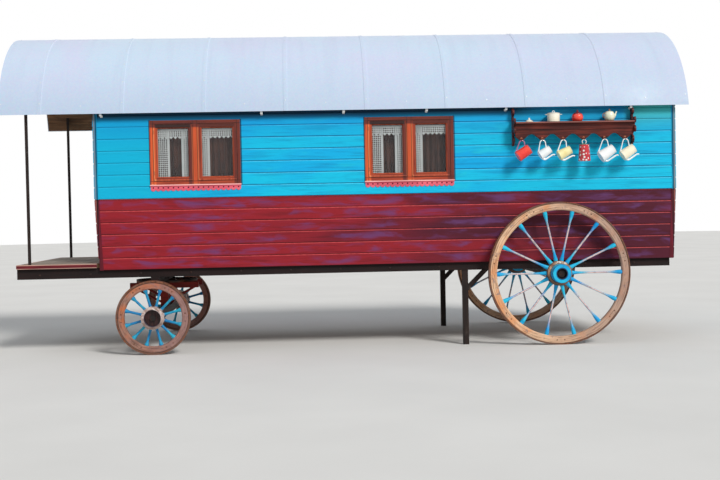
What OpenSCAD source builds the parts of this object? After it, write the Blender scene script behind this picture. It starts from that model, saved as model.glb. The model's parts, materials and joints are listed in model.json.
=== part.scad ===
// A living wagon on four wooden wheels: boarded walls under a barrel roof, an
// open porch at the left end, two windows a side, and a rack of jugs on the
// long side that faces the viewer. X runs along the body to the right, Y away
// from the viewer, Z up. The origin is on the ground under the roof's middle.

/* [Body] */
// Length of the closed body
body_len = 6800; // [5600:50:7400]
// Width over the upper boards
body_w = 2360; // [2260:10:2440]
// Depth of the open porch
porch_len = 920; // [700:20:1200]
// Thickness of the upper wall
wall_t = 45; // [35:1:60]
// How far the upper boards stand proud of the lower ones
upper_proud = 12; // [4:1:16]
// How far the walls lap down over the side sills
sill_lap = 30; // [10:1:60]
// Height of the lower wall, up to where the upper colour begins
lower_h = 820; // [740:10:900]
// How far each end leans in from the waist to the foot
end_lean = 36; // [0:2:60]
// Thickness of the floor and of the porch deck
floor_t = 50; // [35:1:60]
// Thickness of the corner boards
corner_t = 10; // [6:1:14]
// Width of the corner boards
corner_w = 44; // [30:1:60]

/* [Roof] */
// Height of the sheets' lower edge above the top of the lower wall
eave_rise = 980; // [930:5:1050]
// Rise of the arch above the eaves
roof_rise = 1030; // [900:10:1100]
// How far the sheets reach out past each long wall
side_overhang = 100; // [70:5:130]
// How far the roof runs past each end
end_overhang = 140; // [100:5:200]
// Thickness of the metal sheets
sheet_t = 5; // [3:0.5:8]
// Length of the roof that one sheet covers
sheet_pitch = 936; // [800:4:1100]
// Length of the sheet at the right end
last_sheet = 1000; // [850:5:1100]
// Width of the lap between two sheets
lap_w = 42; // [30:1:60]
// How far a lap stands proud
lap_t = 5; // [3:0.5:8]
// Thickness of the roof boards
board_t = 20; // [16:1:28]
// How far the roof boards stand back from the sheets' ends
board_set = 12; // [4:1:20]
// Depth of a roof bow
bow_h = 55; // [40:1:70]
// Width of a roof bow
bow_w = 45; // [35:1:60]
// Number of roof bows over the room
room_bows = 6; // [3:1:8]
// Height of the wall plates
plate_h = 60; // [50:1:80]
// Width of the wall plates
plate_w = 80; // [70:1:90]
// Width of a porch post
post_w = 30; // [24:1:60]
// How far a porch post stands in from the deck's end
post_in = 137; // [60:1:200]
// How far it stands in from the deck's side
post_side = 10; // [4:1:40]

/* [Windows] */
// Width over a window frame
win_w = 1040; // [800:10:1150]
// Height over a window frame
win_h = 740; // [600:10:760]
// Height of a window's lower edge above the top of the lower wall
win_rise = 157; // [140:1:190]
// From the body's left end to the middle of the left window
win_left_in = 1165; // [900:5:1400]
// From the body's right end to the middle of the right window
win_right_in = 3150; // [2800:5:3400]
// Face width of a window frame
frame_w = 38; // [30:1:50]
// Width of a frame's middle post
mullion_w = 52; // [40:1:70]
// Face width of a sash
sash_w = 40; // [30:1:55]
// How far a frame stands proud of the wall
frame_proud = 18; // [8:1:25]
// Thickness of a sash
sash_t = 38; // [30:1:45]
// Thickness of the glass
glass_t = 4; // [3:1:6]
// Drop of the scalloped sill strip
sill_drop = 46; // [35:1:60]
// Width of one scallop
scallop_w = 55; // [40:1:80]
// Thickness of the sill strip
sill_t = 14; // [10:1:20]
// Thickness of the ledge over the strip
ledge_t = 14; // [10:1:20]
// How far the ledge stands out past the strip
ledge_out = 12; // [4:1:20]
// How far the ledge runs past each side of the frame
ledge_end = 6; // [2:1:20]

/* [Door] */
// Width of the doorway over its frame
door_w = 760; // [650:10:900]
// Height of the doorway over its frame
door_h = 1860; // [1750:10:1880]
// Face width of the door frame
door_frame_w = 50; // [40:1:70]
// Thickness of the door leaf
leaf_t = 38; // [30:1:45]
// Depth of the door frame
door_frame_t = 95; // [80:1:120]
// How far the door frame stands proud of the end wall
door_proud = 14; // [6:1:24]
// How far the leaf stands back from the end wall's face
leaf_set = 10; // [0:1:30]

/* [Wheels] */
// Radius of a rear wheel
rear_r = 830; // [780:5:835]
// Number of spokes in a rear wheel
rear_spokes = 14; // [10:2:16]
// Radius of a front wheel
front_r = 425; // [380:5:430]
// Number of spokes in a front wheel
front_spokes = 12; // [8:2:12]
// Distance between the middles of the two wheels on an axle
track = 2700; // [2700:10:2900]
// From the body's right end to the rear axle
rear_in = 1440; // [1200:10:1700]
// From the body's left end to the front axle
front_in = 660; // [540:10:800]
// Depth of a wheel's rim, its tyre included
rim_h = 96; // [84:1:105]
// Thickness of a rear wheel's iron tyre
rear_tyre_t = 12; // [8:1:20]
// Thickness of a front wheel's iron tyre
front_tyre_t = 20; // [8:1:24]
// Width of a tyre
tyre_w = 72; // [60:1:90]
// How far a felloe's faces stand back from the tyre's
felloe_set = 4; // [2:0.5:8]
// Width of the eased edges of a felloe
felloe_ease = 10; // [4:1:14]
// Gap between two felloes
felloe_gap = 2; // [1:0.5:4]
// Thickness of a spoke at both its ends
spoke_end = 50; // [42:1:54]
// Thickness of a rear wheel's spoke at its waist
rear_spoke_mid = 22; // [18:1:32]
// Thickness of a front wheel's spoke at its waist
front_spoke_mid = 29; // [20:1:34]
// How deep a spoke's foot sits in its nave
spoke_root = 30; // [20:1:40]
// How far a rear wheel's spokes lean out from foot to tip
rear_dish = 28; // [0:1:40]
// How far a front wheel's spokes lean out from foot to tip
front_dish = 12; // [0:1:20]

/* [Naves] */
// Largest radius of a rear nave
rear_nave_r = 142; // [125:1:150]
// How far a rear nave reaches to each side of its rim's middle
rear_nave_len = 150; // [130:1:160]
// Radius of the hollow in a rear nave's outer end
rear_cup_r = 56; // [50:1:70]
// Largest radius of a front nave
front_nave_r = 112; // [100:1:118]
// How far a front nave reaches in from its rim's middle
front_nave_back = 110; // [90:1:125]
// How far a front nave reaches out from its rim's middle
front_nave_len = 102; // [90:1:120]
// Radius of the iron band on a front nave
front_band_r = 128; // [120:1:140]
// Width of that band
front_band_w = 56; // [40:1:60]
// Radius of the hollow in a front nave's outer end
front_cup_r = 96; // [70:1:104]
// Depth of the hollow in a nave's outer end
cup_d = 54; // [34:1:60]
// Radius of a rear axle's round arms
rear_arm_r = 30; // [26:1:34]
// Radius of a front axle's round arms
front_arm_r = 25; // [22:1:30]
// Thickness of the collar behind a nave
collar_t = 16; // [10:1:20]
// How far a collar stands out from its arm
collar_out = 24; // [10:1:30]
// Thickness of the nut on an arm's end
nut_t = 24; // [16:1:30]
// Running clearance of a round arm in its bore, on the radius
run_gap = 0.05; // [0.02:0.01:0.1]
// Running gap between faces that turn on each other
face_gap = 0.3; // [0.2:0.1:0.5]

/* [Undercarriage] */
// Height of the side sills
sill_h = 120; // [100:5:140]
// Width of the side sills
sill_w = 80; // [60:5:100]
// How far the sills ride above the middle of the rear wheels
axle_rise = 50; // [35:1:60]
// Width of a cross member
cross_w = 80; // [60:5:100]
// Number of cross members from one axle to the other
cross_count = 5; // [3:1:7]
// Width of the axle beds
bed_w = 95; // [80:1:110]
// Height of the axle beds
bed_h = 100; // [86:2:110]
// Height of the bolster over the turntable
bolster_h = 85; // [70:1:95]
// Outer radius of the turntable rings
turntable_r = 380; // [330:5:420]
// Face width of a turntable ring
turntable_w = 60; // [50:2:80]
// Thickness of a turntable ring
turntable_t = 15; // [12:1:20]
// Radius of the kingpin
kingpin_r = 22; // [18:1:26]
// Height of the timbers under the turntable
hound_h = 70; // [60:1:80]
// Width of the timbers under the turntable
hound_w = 64; // [50:1:76]
// How far those timbers run past the ring
hound_out = 40; // [20:1:60]
// Radius of an iron stay
stay_r = 13; // [10:0.5:16]
// From the rear axle to the support legs
leg_in = 1070; // [1000:10:1300]
// Width of a support leg
leg_w = 66; // [50:1:76]
// How far a leg's knee reaches down and along
knee_len = 250; // [180:5:300]
// Height of a knee where it meets the leg and the sill
knee_h = 75; // [50:1:90]
// Thickness of a knee
knee_t = 44; // [30:1:50]

/* [Rack] */
// From the body's right end to the rack's middle
rack_in = 1228; // [1000:5:1350]
// Length of the rack
rack_len = 1430; // [1200:10:1500]
// Height of the shelf's upper face above the top of the lower wall
shelf_rise = 802; // [770:1:815]
// Depth of the shelf
shelf_d = 190; // [160:5:210]
// Thickness of the rack's sides and shelf
rack_t = 20; // [14:1:26]
// How far the sides rise above the shelf
rack_top = 170; // [120:1:180]
// How far the sides reach below the shelf
rack_drop = 270; // [230:1:300]
// Radius of the scrolls on the sides' front edges
scroll_r = 36; // [30:1:40]
// Number of points on the apron
rack_points = 6; // [4:1:7]
// How far the points sit to the left of the rack's middle
point_shift = 20; // [0:1:30]
// Height of the apron at its points
apron_h = 220; // [190:1:230]
// Thickness of the apron
apron_t = 18; // [12:1:24]
// How far the apron stands back from the shelf's front edge
apron_set = 42; // [30:1:60]
// Rise of the arches between the points
arch_rise = 78; // [50:1:85]
// Width of a point's flat end
point_w = 12; // [6:1:20]
// Distance from the shelf's upper face down to the foot of the rail under it
rail_h = 90; // [60:1:110]
// Thickness of the bead along the apron
bead_t = 8; // [5:0.5:12]
// Radius of the wire of a hook
hook_r = 3; // [2:0.25:4]
// Radius of a hook's bends
hook_bend = 10; // [8:0.5:11]
// How far the middle of a hook's plate sits above the foot of its point
hook_up = 30; // [26:1:36]
// How far a hook's bend reaches below the foot of its point
hook_low = 6; // [2:1:12]

/* [Jugs] */
// Height of a middling jug
jug_h = 150; // [130:1:165]
// Radius of a middling jug's foot
jug_r = 58; // [50:1:62]
// Radius of the bend of an ear, to the middle of its wire
ear_bend = 20; // [16:1:26]
// Radius of the wire of an ear
ear_wire = 5; // [4:0.5:6]
// How far the middle of an ear's bend stands off its jug
ear_off = 65; // [50:1:75]
// Radius of a spout
spout_r = 9; // [7:0.5:11]
// Radius of the largest pot on the shelf
pot_r = 76; // [60:1:80]
// Thickness of the rim of a jug or pot
pot_wall = 4; // [2:0.5:5]
// How deep a jug or pot is open under its rim
mouth_d = 14; // [8:1:18]

/* [Hidden] */
$fn = 64;

// Clearance between curved faces that are fastened together
seat = 0.3;
// Overlap of shapes that grow into one solid
lap = 1;
eps = 0.01;

// Places along the wagon
roof_len = body_len + porch_len + 2 * end_overhang;
body_x1 = roof_len / 2 - end_overhang;
body_x0 = body_x1 - body_len;
deck_x0 = body_x0 - porch_len;
rear_x = body_x1 - rear_in;
front_x = body_x0 + front_in;
leg_x = rear_x - leg_in;
rack_x = body_x1 - rack_in;
window_xs = [body_x0 + win_left_in, body_x1 - win_right_in];

// Places across the wagon
outer_y = body_w / 2;
inner_y = outer_y - wall_t;
lower_y = outer_y - upper_proud;
lower_t = lower_y - inner_y;

// Heights, from the rear wheels' middle upwards
sill_z = rear_r + axle_rise;
floor_z = sill_z + sill_h;
door_z = floor_z + floor_t;
wall_z = floor_z - sill_lap;
waist_z = wall_z + lower_h;
win_z = waist_z + win_rise;
shelf_z = waist_z + shelf_rise;
eave_z = waist_z + eave_rise;
sill_x1 = body_x1 - end_lean - lower_t;

// The roof's arch, from its inner face outwards
roof_fn = 240;
roof_half = outer_y + side_overhang;
roof_r = (roof_half * roof_half + roof_rise * roof_rise) / (2 * roof_rise);
arch_z = eave_z + roof_rise - roof_r;
board_r = roof_r - sheet_t - seat;
under_r = board_r - board_t - seat;
plate_top = arch_z + sqrt(under_r * under_r - outer_y * outer_y);
wall_top = plate_top - plate_h;
plate_y = outer_y - plate_w;

// Windows
pane_w = (win_w - 2 * frame_w - mullion_w) / 2;

// Rack; a part of a point is cut off at each end
rack_pitch = (rack_len - 2 * rack_t) / (rack_points - 0.28);
apron_y = -outer_y - shelf_d + apron_set;
ear_top = shelf_z - apron_h - hook_low + hook_r + seat + ear_wire;
jug_y = apron_y - 3 * hook_bend + hook_r;

// Spreads a flat outline, drawn in Y and Z, along X from x0 to x1
module along_x(x0, x1) {
    translate([x0, 0, 0]) rotate([90, 0, 90]) linear_extrude(x1 - x0) children();
}

// Spreads a flat outline, drawn in X and Z, along Y from y0 to y1
module along_y(y0, y1) {
    translate([0, y1, 0]) rotate([90, 0, 0]) linear_extrude(y1 - y0) children();
}

// A box between two corners
module block(low, high) {
    translate(low) cube(high - low);
}

// The same shape on both long sides
module both_sides() {
    children();
    mirror([0, 1, 0]) children();
}

/* Body */

// How far an end of the lower body leans in at height z
function lean_at(z) = end_lean * (waist_z - z) / (waist_z - wall_z);

module chassis_sills() {
    color([0.16, 0.12, 0.11])
        both_sides()
            block([deck_x0, -inner_y, sill_z], [sill_x1, sill_w - inner_y, floor_z]);
}

module cross_members() {
    reach = inner_y - sill_w;
    step = (rear_x - front_x) / (cross_count - 1);
    xs = concat(
        [deck_x0 + cross_w / 2, sill_x1 - cross_w / 2],
        [for (i = [0 : cross_count - 1]) front_x + i * step]
    );
    color([0.18, 0.13, 0.11])
        for (x = xs) block([x - cross_w / 2, -reach, sill_z], [x + cross_w / 2, reach, floor_z]);
}

module floor() {
    color([0.45, 0.33, 0.22])
        block([body_x0, -inner_y, floor_z], [sill_x1, inner_y, door_z]);
}

module porch_deck() {
    color([0.62, 0.56, 0.50])
        block([deck_x0, -outer_y, floor_z], [body_x0, outer_y, door_z]);
}

// The lower wall's outline: its ends lean in towards the foot
module lower_outline() {
    polygon([
        [body_x0 + end_lean, wall_z], [body_x1 - end_lean, wall_z],
        [body_x1, waist_z], [body_x0, waist_z]
    ]);
}

module lower_wall() {
    along_y(-lower_y, -inner_y) lower_outline();
}

module window_hole(x) {
    block([x - win_w / 2, -outer_y - lap, win_z], [x + win_w / 2, lap - inner_y, win_z + win_h]);
}

module upper_wall() {
    difference() {
        block([body_x0, -outer_y, waist_z], [body_x1, -inner_y, wall_top]);
        for (x = window_xs) window_hole(x);
    }
}

module front_wall_lower() {
    color([0.51, 0.16, 0.22]) lower_wall();
}

module front_wall_upper() {
    color([0.11, 0.62, 0.80]) upper_wall();
}

module back_wall_lower() {
    color([0.51, 0.16, 0.22]) mirror([0, 1, 0]) lower_wall();
}

module back_wall_upper() {
    color([0.11, 0.62, 0.80]) mirror([0, 1, 0]) upper_wall();
}

// Leaning slabs under the waist; the porch end has the doorway between two
module end_walls_lower() {
    color([0.51, 0.16, 0.22]) {
        both_sides()
            along_y(door_w / 2, inner_y)
                polygon([
                    [body_x0 + lean_at(door_z), door_z], [body_x0 + lean_at(door_z) + lower_t, door_z],
                    [body_x0 + lower_t, waist_z], [body_x0, waist_z]
                ]);
        along_y(-inner_y, inner_y)
            polygon([
                [body_x1 - end_lean, wall_z], [body_x1 - end_lean - lower_t, wall_z],
                [body_x1 - lower_t, waist_z], [body_x1, waist_z]
            ]);
    }
}

// A gable fills the arch down to the waist, between the long walls
module gable_outline() {
    difference() {
        intersection() {
            translate([0, arch_z]) circle(under_r - seat, $fn = roof_fn);
            translate([-outer_y, waist_z]) square([2 * outer_y, 3 * roof_rise]);
        }
        for (side = [-1, 1]) {
            translate([side * (inner_y + outer_y) / 2 - wall_t / 2, waist_z - lap])
                square([wall_t, wall_top - waist_z + lap]);
            translate([side * (plate_y + outer_y) / 2 - plate_w / 2, wall_top - eps])
                square([plate_w, plate_h + 2 * eps]);
        }
    }
}

module end_walls_upper() {
    color([0.11, 0.62, 0.80]) {
        difference() {
            along_x(body_x0, body_x0 + wall_t) gable_outline();
            block([body_x0 - lap, -door_w / 2, waist_z - lap],
                  [body_x0 + wall_t + lap, door_w / 2, door_z + door_h]);
        }
        along_x(body_x1 - wall_t, body_x1) gable_outline();
    }
}

// Corner boards lap the ends of the long walls
module lower_corner_boards() {
    color([0.49, 0.14, 0.20])
        both_sides() {
            along_y(-lower_y - corner_t, -lower_y)
                polygon([[body_x0 + end_lean, wall_z], [body_x0 + end_lean + corner_w, wall_z],
                         [body_x0 + corner_w, waist_z - seat], [body_x0, waist_z - seat]]);
            along_y(-lower_y - corner_t, -lower_y)
                polygon([[body_x1 - end_lean - corner_w, wall_z], [body_x1 - end_lean, wall_z],
                         [body_x1, waist_z - seat], [body_x1 - corner_w, waist_z - seat]]);
        }
}

module upper_corner_boards() {
    color([0.10, 0.58, 0.77])
        both_sides()
            for (x = [body_x0, body_x1 - corner_w])
                block([x, -outer_y - corner_t, waist_z], [x + corner_w, -outer_y, wall_top]);
}

/* Windows */

// A frame with its middle post, drawn in X and Z about x = 0
module window_frame() {
    along_y(-outer_y - frame_proud, -inner_y)
        difference() {
            translate([-win_w / 2, win_z]) square([win_w, win_h]);
            for (side = [-1, 1])
                translate([side * (mullion_w + pane_w) / 2 - pane_w / 2, win_z + frame_w])
                    square([pane_w, win_h - 2 * frame_w]);
        }
}

// One sash, standing a little back from the frame's face
module window_sash(side) {
    x = side * (mullion_w + pane_w) / 2;
    h = win_h - 2 * frame_w;
    along_y(-outer_y - frame_proud / 2, sash_t - outer_y - frame_proud / 2)
        difference() {
            translate([x - pane_w / 2, win_z + frame_w]) square([pane_w, h]);
            translate([x - pane_w / 2 + sash_w, win_z + frame_w + sash_w])
                square([pane_w - 2 * sash_w, h - 2 * sash_w]);
        }
}

module window_pane(side) {
    x = side * (mullion_w + pane_w) / 2;
    y = sash_t / 2 - outer_y - frame_proud / 2;
    z = win_z + frame_w + sash_w;
    block([x - pane_w / 2 + sash_w, y, z],
          [x + pane_w / 2 - sash_w, y + glass_t, z + win_h - 2 * frame_w - 2 * sash_w]);
}

// A ledge with a strip of scallops hanging under it
module window_sill() {
    count = floor(win_w / scallop_w);
    step = win_w / count;
    along_y(-outer_y - sill_t, -outer_y) {
        translate([-win_w / 2, win_z - sill_drop]) square([win_w, sill_drop]);
        for (i = [0 : count - 1])
            translate([step * (i + 0.5) - win_w / 2, win_z - sill_drop]) circle(step / 2 - eps, $fn = 24);
    }
    block([-win_w / 2 - ledge_end, -outer_y - sill_t - ledge_out, win_z - ledge_t],
          [win_w / 2 + ledge_end, -outer_y, win_z]);
}

module window_frames() {
    color([0.80, 0.42, 0.24]) both_sides() for (x = window_xs) translate([x, 0, 0]) window_frame();
}

module window_sashes() {
    color([0.74, 0.36, 0.20])
        both_sides() for (x = window_xs, side = [-1, 1]) translate([x, 0, 0]) window_sash(side);
}

module window_glass() {
    color([0.60, 0.68, 0.70, 0.5])
        both_sides() for (x = window_xs, side = [-1, 1]) translate([x, 0, 0]) window_pane(side);
}

module window_sills() {
    color([0.80, 0.38, 0.44]) both_sides() for (x = window_xs) translate([x, 0, 0]) window_sill();
}

/* Door */

module door_frame() {
    half = door_w / 2;
    color([0.76, 0.40, 0.23])
        difference() {
            block([body_x0 - door_proud, -half, door_z],
                  [body_x0 - door_proud + door_frame_t, half, door_z + door_h]);
            block([body_x0 - door_proud - lap, door_frame_w - half, door_z + door_frame_w],
                  [body_x0 + door_frame_t, half - door_frame_w, door_z + door_h - door_frame_w]);
        }
}

module door_leaf() {
    half = door_w / 2 - door_frame_w;
    color([0.10, 0.55, 0.74])
        block([body_x0 + leaf_set, seat - half, door_z + door_frame_w + seat],
              [body_x0 + leaf_set + leaf_t, half - seat, door_z + door_h - door_frame_w - seat]);
}

/* Roof */

// Part of a round arch between two radii, above a height
module arch_outline(r_out, r_in, z_low) {
    difference() {
        translate([0, arch_z]) circle(r_out, $fn = roof_fn);
        translate([0, arch_z]) circle(r_in, $fn = roof_fn);
        translate([-2 * r_out, z_low - 3 * r_out]) square([4 * r_out, 3 * r_out]);
    }
}

module wall_plates() {
    color([0.40, 0.29, 0.20])
        both_sides()
            block([deck_x0, -outer_y, wall_top], [body_x1, -plate_y, plate_top]);
}

module roof_bows() {
    room_step = body_len / (room_bows + 1);
    bow_xs = concat(
        [deck_x0 + bow_w / 2, body_x0 - porch_len / 2],
        [for (i = [1 : room_bows]) body_x0 + i * room_step]
    );
    color([0.42, 0.31, 0.22])
        for (x = bow_xs)
            along_x(x - bow_w / 2, x + bow_w / 2)
                arch_outline(under_r, under_r - bow_h, plate_top);
}

module roof_boards() {
    color([0.46, 0.34, 0.24])
        along_x(-roof_len / 2 + board_set, roof_len / 2 - board_set)
            arch_outline(board_r, board_r - board_t, eave_z + board_set / 2);
}

module roof_sheets() {
    laps = floor((roof_len - last_sheet - lap_w) / sheet_pitch);
    color([0.80, 0.85, 0.94]) {
        along_x(-roof_len / 2, roof_len / 2) arch_outline(roof_r, roof_r - sheet_t, eave_z);
        for (i = [0 : laps]) {
            x = roof_len / 2 - last_sheet - i * sheet_pitch;
            along_x(x, x + lap_w) arch_outline(roof_r + lap_t, roof_r - sheet_t / 2, eave_z);
        }
    }
}

module porch_posts() {
    x = deck_x0 + post_in;
    y = post_side - outer_y;
    color([0.20, 0.16, 0.15])
        both_sides()
            block([x, y, door_z], [x + post_w, y + post_w, wall_top]);
}

/* Wheels */

// Turns a wheel drawn about Z, outer face up, to stand on an axle: near side
module stand_near(x, r) {
    translate([x, -track / 2, r]) rotate([90, 0, 0]) children();
}

module stand_far(x, r) {
    mirror([0, 1, 0]) stand_near(x, r) children();
}

function felloe_in(r) = r - rim_h - seat;

module tyre(r, tyre_t) {
    color([0.42, 0.30, 0.25])
        rotate_extrude($fn = 96) translate([r - tyre_t, -tyre_w / 2]) square([tyre_t, tyre_w]);
}

// The wooden rim in arcs, one for every two spokes, its inner edges eased
module felloes(r, tyre_t, spokes) {
    arcs = spokes / 2;
    gap_angle = felloe_gap / r * 180 / PI;
    half = tyre_w / 2 - felloe_set;
    r_in = felloe_in(r);
    r_out = r - tyre_t - seat;
    color([0.82, 0.64, 0.48])
        for (i = [0 : arcs - 1])
            rotate(90 + (i + 0.5) * 360 / arcs + gap_angle / 2)
                rotate_extrude(angle = 360 / arcs - gap_angle, $fn = 96)
                    polygon([
                        [r_in + felloe_ease, -half], [r_out, -half], [r_out, half], [r_in + felloe_ease, half],
                        [r_in, half - felloe_ease], [r_in, felloe_ease - half]
                    ]);
}

// A turned spoke along +Z, wide at both ends and slender between them
module spoke(len, mid) {
    end_r = spoke_end / 2;
    mid_r = mid / 2;
    rotate_extrude($fn = 24)
        polygon([
            [0, 0], [end_r, 0], [end_r, 0.06 * len], [1.25 * mid_r, 0.2 * len], [mid_r, 0.36 * len],
            [mid_r, 0.8 * len], [end_r, 0.95 * len], [end_r, len + spoke_root], [0, len + spoke_root]
        ]);
}

// A nave from its outline, with its spokes cut to seat inside the felloes
module nave_and_spokes(r, spokes, mid, nave_r, dish, outline) {
    foot = nave_r - spoke_root;
    len = felloe_in(r) - foot;
    lean = atan(dish / len);
    color([0.13, 0.60, 0.80])
        intersection() {
            union() {
                rotate_extrude() polygon(outline);
                for (i = [0 : spokes - 1])
                    rotate([0, 0, 90 + (i + 0.5) * 360 / spokes])
                        translate([foot, 0, -dish]) rotate([0, 90 - lean, 0]) spoke(len, mid);
            }
            cylinder(r = felloe_in(r) - seat, h = 4 * r, center = true, $fn = 96);
        }
}

// Half outline of a rear nave: a belly for the spokes, then a long outer neck
rear_nave = [
    [rear_arm_r + run_gap, -rear_nave_len], [0.7 * rear_nave_r, -rear_nave_len],
    [0.76 * rear_nave_r, -0.85 * rear_nave_len], [rear_nave_r, -0.57 * rear_nave_len],
    [rear_nave_r, 0.17 * rear_nave_len], [0.75 * rear_nave_r, 0.24 * rear_nave_len],
    [0.73 * rear_nave_r, rear_nave_len], [rear_cup_r, rear_nave_len],
    [rear_cup_r, rear_nave_len - cup_d], [rear_arm_r + run_gap, rear_nave_len - cup_d]
];

// Half outline of a front nave, with the broad band round its outer end
band_z = front_nave_len - front_band_w;
front_nave = [
    [front_arm_r + run_gap, -front_nave_back], [0.75 * front_nave_r, -front_nave_back],
    [front_nave_r, -0.58 * front_nave_back], [front_nave_r, band_z - 0.4 * (front_band_r - front_nave_r)],
    [front_band_r, band_z], [front_band_r, front_nave_len], [front_cup_r, front_nave_len],
    [front_cup_r, front_nave_len - cup_d], [front_arm_r + run_gap, front_nave_len - cup_d]
];

module rear_tyre() {
    tyre(rear_r, rear_tyre_t);
}

module rear_felloes() {
    felloes(rear_r, rear_tyre_t, rear_spokes);
}

module rear_spoke_set() {
    nave_and_spokes(rear_r, rear_spokes, rear_spoke_mid, rear_nave_r, rear_dish, rear_nave);
}

module front_tyre() {
    tyre(front_r, front_tyre_t);
}

module front_felloes() {
    felloes(front_r, front_tyre_t, front_spokes);
}

module front_spoke_set() {
    nave_and_spokes(front_r, front_spokes, front_spoke_mid, front_nave_r, front_dish, front_nave);
}

/* Axles and fore-carriage */

// A round arm for one wheel, with the collar behind the nave and the nut in its hollow
module axle_arm(arm_r, nave_back, nave_seat) {
    root = nave_back + face_gap + 4 * collar_t;
    translate([0, -track / 2, 0]) rotate([90, 0, 0]) {
        translate([0, 0, -root]) cylinder(r = arm_r, h = root + nave_seat + face_gap + nut_t);
        translate([0, 0, -nave_back - face_gap - collar_t]) cylinder(r = arm_r + collar_out, h = collar_t);
        translate([0, 0, nave_seat + face_gap]) cylinder(r = 1.5 * arm_r, h = nut_t, $fn = 6);
    }
}

module rear_axle() {
    color([0.22, 0.17, 0.15])
        both_sides()
            translate([rear_x, 0, rear_r]) {
                block([-bed_w / 2, rear_nave_len + collar_t - track / 2, axle_rise - bed_h],
                      [bed_w / 2, 0, axle_rise]);
                axle_arm(rear_arm_r, rear_nave_len, rear_nave_len - cup_d);
            }
}

module front_axle() {
    color([0.30, 0.19, 0.16])
        both_sides()
            translate([front_x, 0, front_r]) {
                block([-bed_w / 2, front_nave_back + collar_t - track / 2, -bed_h / 2],
                      [bed_w / 2, 0, bed_h / 2]);
                axle_arm(front_arm_r, front_nave_back, front_nave_len - cup_d);
            }
}

bolster_z = sill_z - bolster_h;
upper_ring_z = bolster_z - turntable_t;
lower_ring_z = upper_ring_z - face_gap - turntable_t;
hound_z = lower_ring_z - hound_h;
hound_reach = turntable_r + hound_out;
hound_gauge = 0.72 * turntable_r;
bed_top = front_r + bed_h / 2;

module front_bolster() {
    color([0.20, 0.15, 0.13])
        difference() {
            translate([front_x, 0, 0])
                block([-bed_w / 2, -inner_y, bolster_z], [bed_w / 2, inner_y, sill_z]);
            translate([front_x, 0, bolster_z - lap]) cylinder(r = kingpin_r + run_gap, h = bolster_h + 2 * lap);
        }
}

module turntable_ring(z) {
    translate([front_x, 0, z])
        difference() {
            cylinder(r = turntable_r, h = turntable_t);
            translate([0, 0, -lap]) cylinder(r = turntable_r - turntable_w, h = turntable_t + 2 * lap);
        }
}

module turntable_upper() {
    color([0.24, 0.20, 0.19]) turntable_ring(upper_ring_z);
}

module turntable_lower() {
    color([0.30, 0.22, 0.20]) turntable_ring(lower_ring_z);
}

// The pin hangs in the bolster and reaches through the timber below
module kingpin() {
    low = hound_z - kingpin_r;
    color([0.30, 0.25, 0.23])
        translate([front_x, 0, low]) cylinder(r = kingpin_r, h = sill_z - seat - low);
}

// Timbers that carry the lower ring, with posts and stays down to the axle bed
module fore_frame() {
    near = -hound_gauge - hound_w / 2;
    far = near + hound_w;
    color([0.40, 0.17, 0.15])
        translate([front_x, 0, 0])
            difference() {
                union() {
                    both_sides() {
                        block([-hound_reach, near, hound_z], [hound_reach, far, lower_ring_z]);
                        block([-bed_w / 2, near, bed_top], [bed_w / 2, far, hound_z + lap]);
                        for (side = [-1, 1]) stay(side);
                    }
                    block([-bed_w / 2, -hound_reach, hound_z], [bed_w / 2, hound_reach, lower_ring_z]);
                }
                cylinder(r = kingpin_r + run_gap, h = 2 * rear_r);
            }
}

// An iron stay from the end of a long timber down to the foot of its post
module stay(side) {
    foot_z = bed_top + 2 * stay_r;
    drop = hound_z + stay_r - foot_z;
    translate([0, -hound_gauge, foot_z])
        rotate([0, side * atan(turntable_r / drop), 0])
            cylinder(r = stay_r, h = norm([turntable_r, drop]));
}

module support_legs() {
    mid = inner_y - sill_w / 2;
    side_x = leg_x + leg_w / 2;
    color([0.20, 0.15, 0.13])
        both_sides() {
            block([leg_x - leg_w / 2, -mid - leg_w / 2, 0], [side_x, leg_w / 2 - mid, sill_z]);
            along_y(-mid - knee_t / 2, knee_t / 2 - mid)
                polygon([[side_x - lap, sill_z - knee_len], [side_x - lap, sill_z - knee_len + knee_h],
                         [side_x + knee_len - knee_h, sill_z], [side_x + knee_len, sill_z]]);
        }
}

/* Wire shapes, drawn in X and Z */

module wire_line(from, to, r) {
    run = to - from;
    translate([from[0], 0, from[1]]) rotate([0, atan2(run[0], run[1]), 0]) cylinder(r = r, h = norm(run));
}

module wire_arc(centre, bend_r, a0, a1, r) {
    translate([centre[0], 0, centre[1]]) rotate([90, 0, 0]) rotate(a0)
        rotate_extrude(angle = a1 - a0, $fn = 48) translate([bend_r, 0]) circle(r, $fn = 24);
}

// A small swelling where a line and an arc of wire meet
module wire_bead(at, r) {
    translate([at[0], 0, at[1]]) sphere(r = 1.15 * r, $fn = 24);
}

function polar(r, angle) = [r * cos(angle), r * sin(angle)];

// Angle, seen from a circle's middle, where a line from a point outside it touches it
function touch(centre, r, point, side) =
    let (run = point - centre) atan2(run[1], run[0]) + side * acos(r / norm(run));

/* Rack and what hangs on it */

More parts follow.
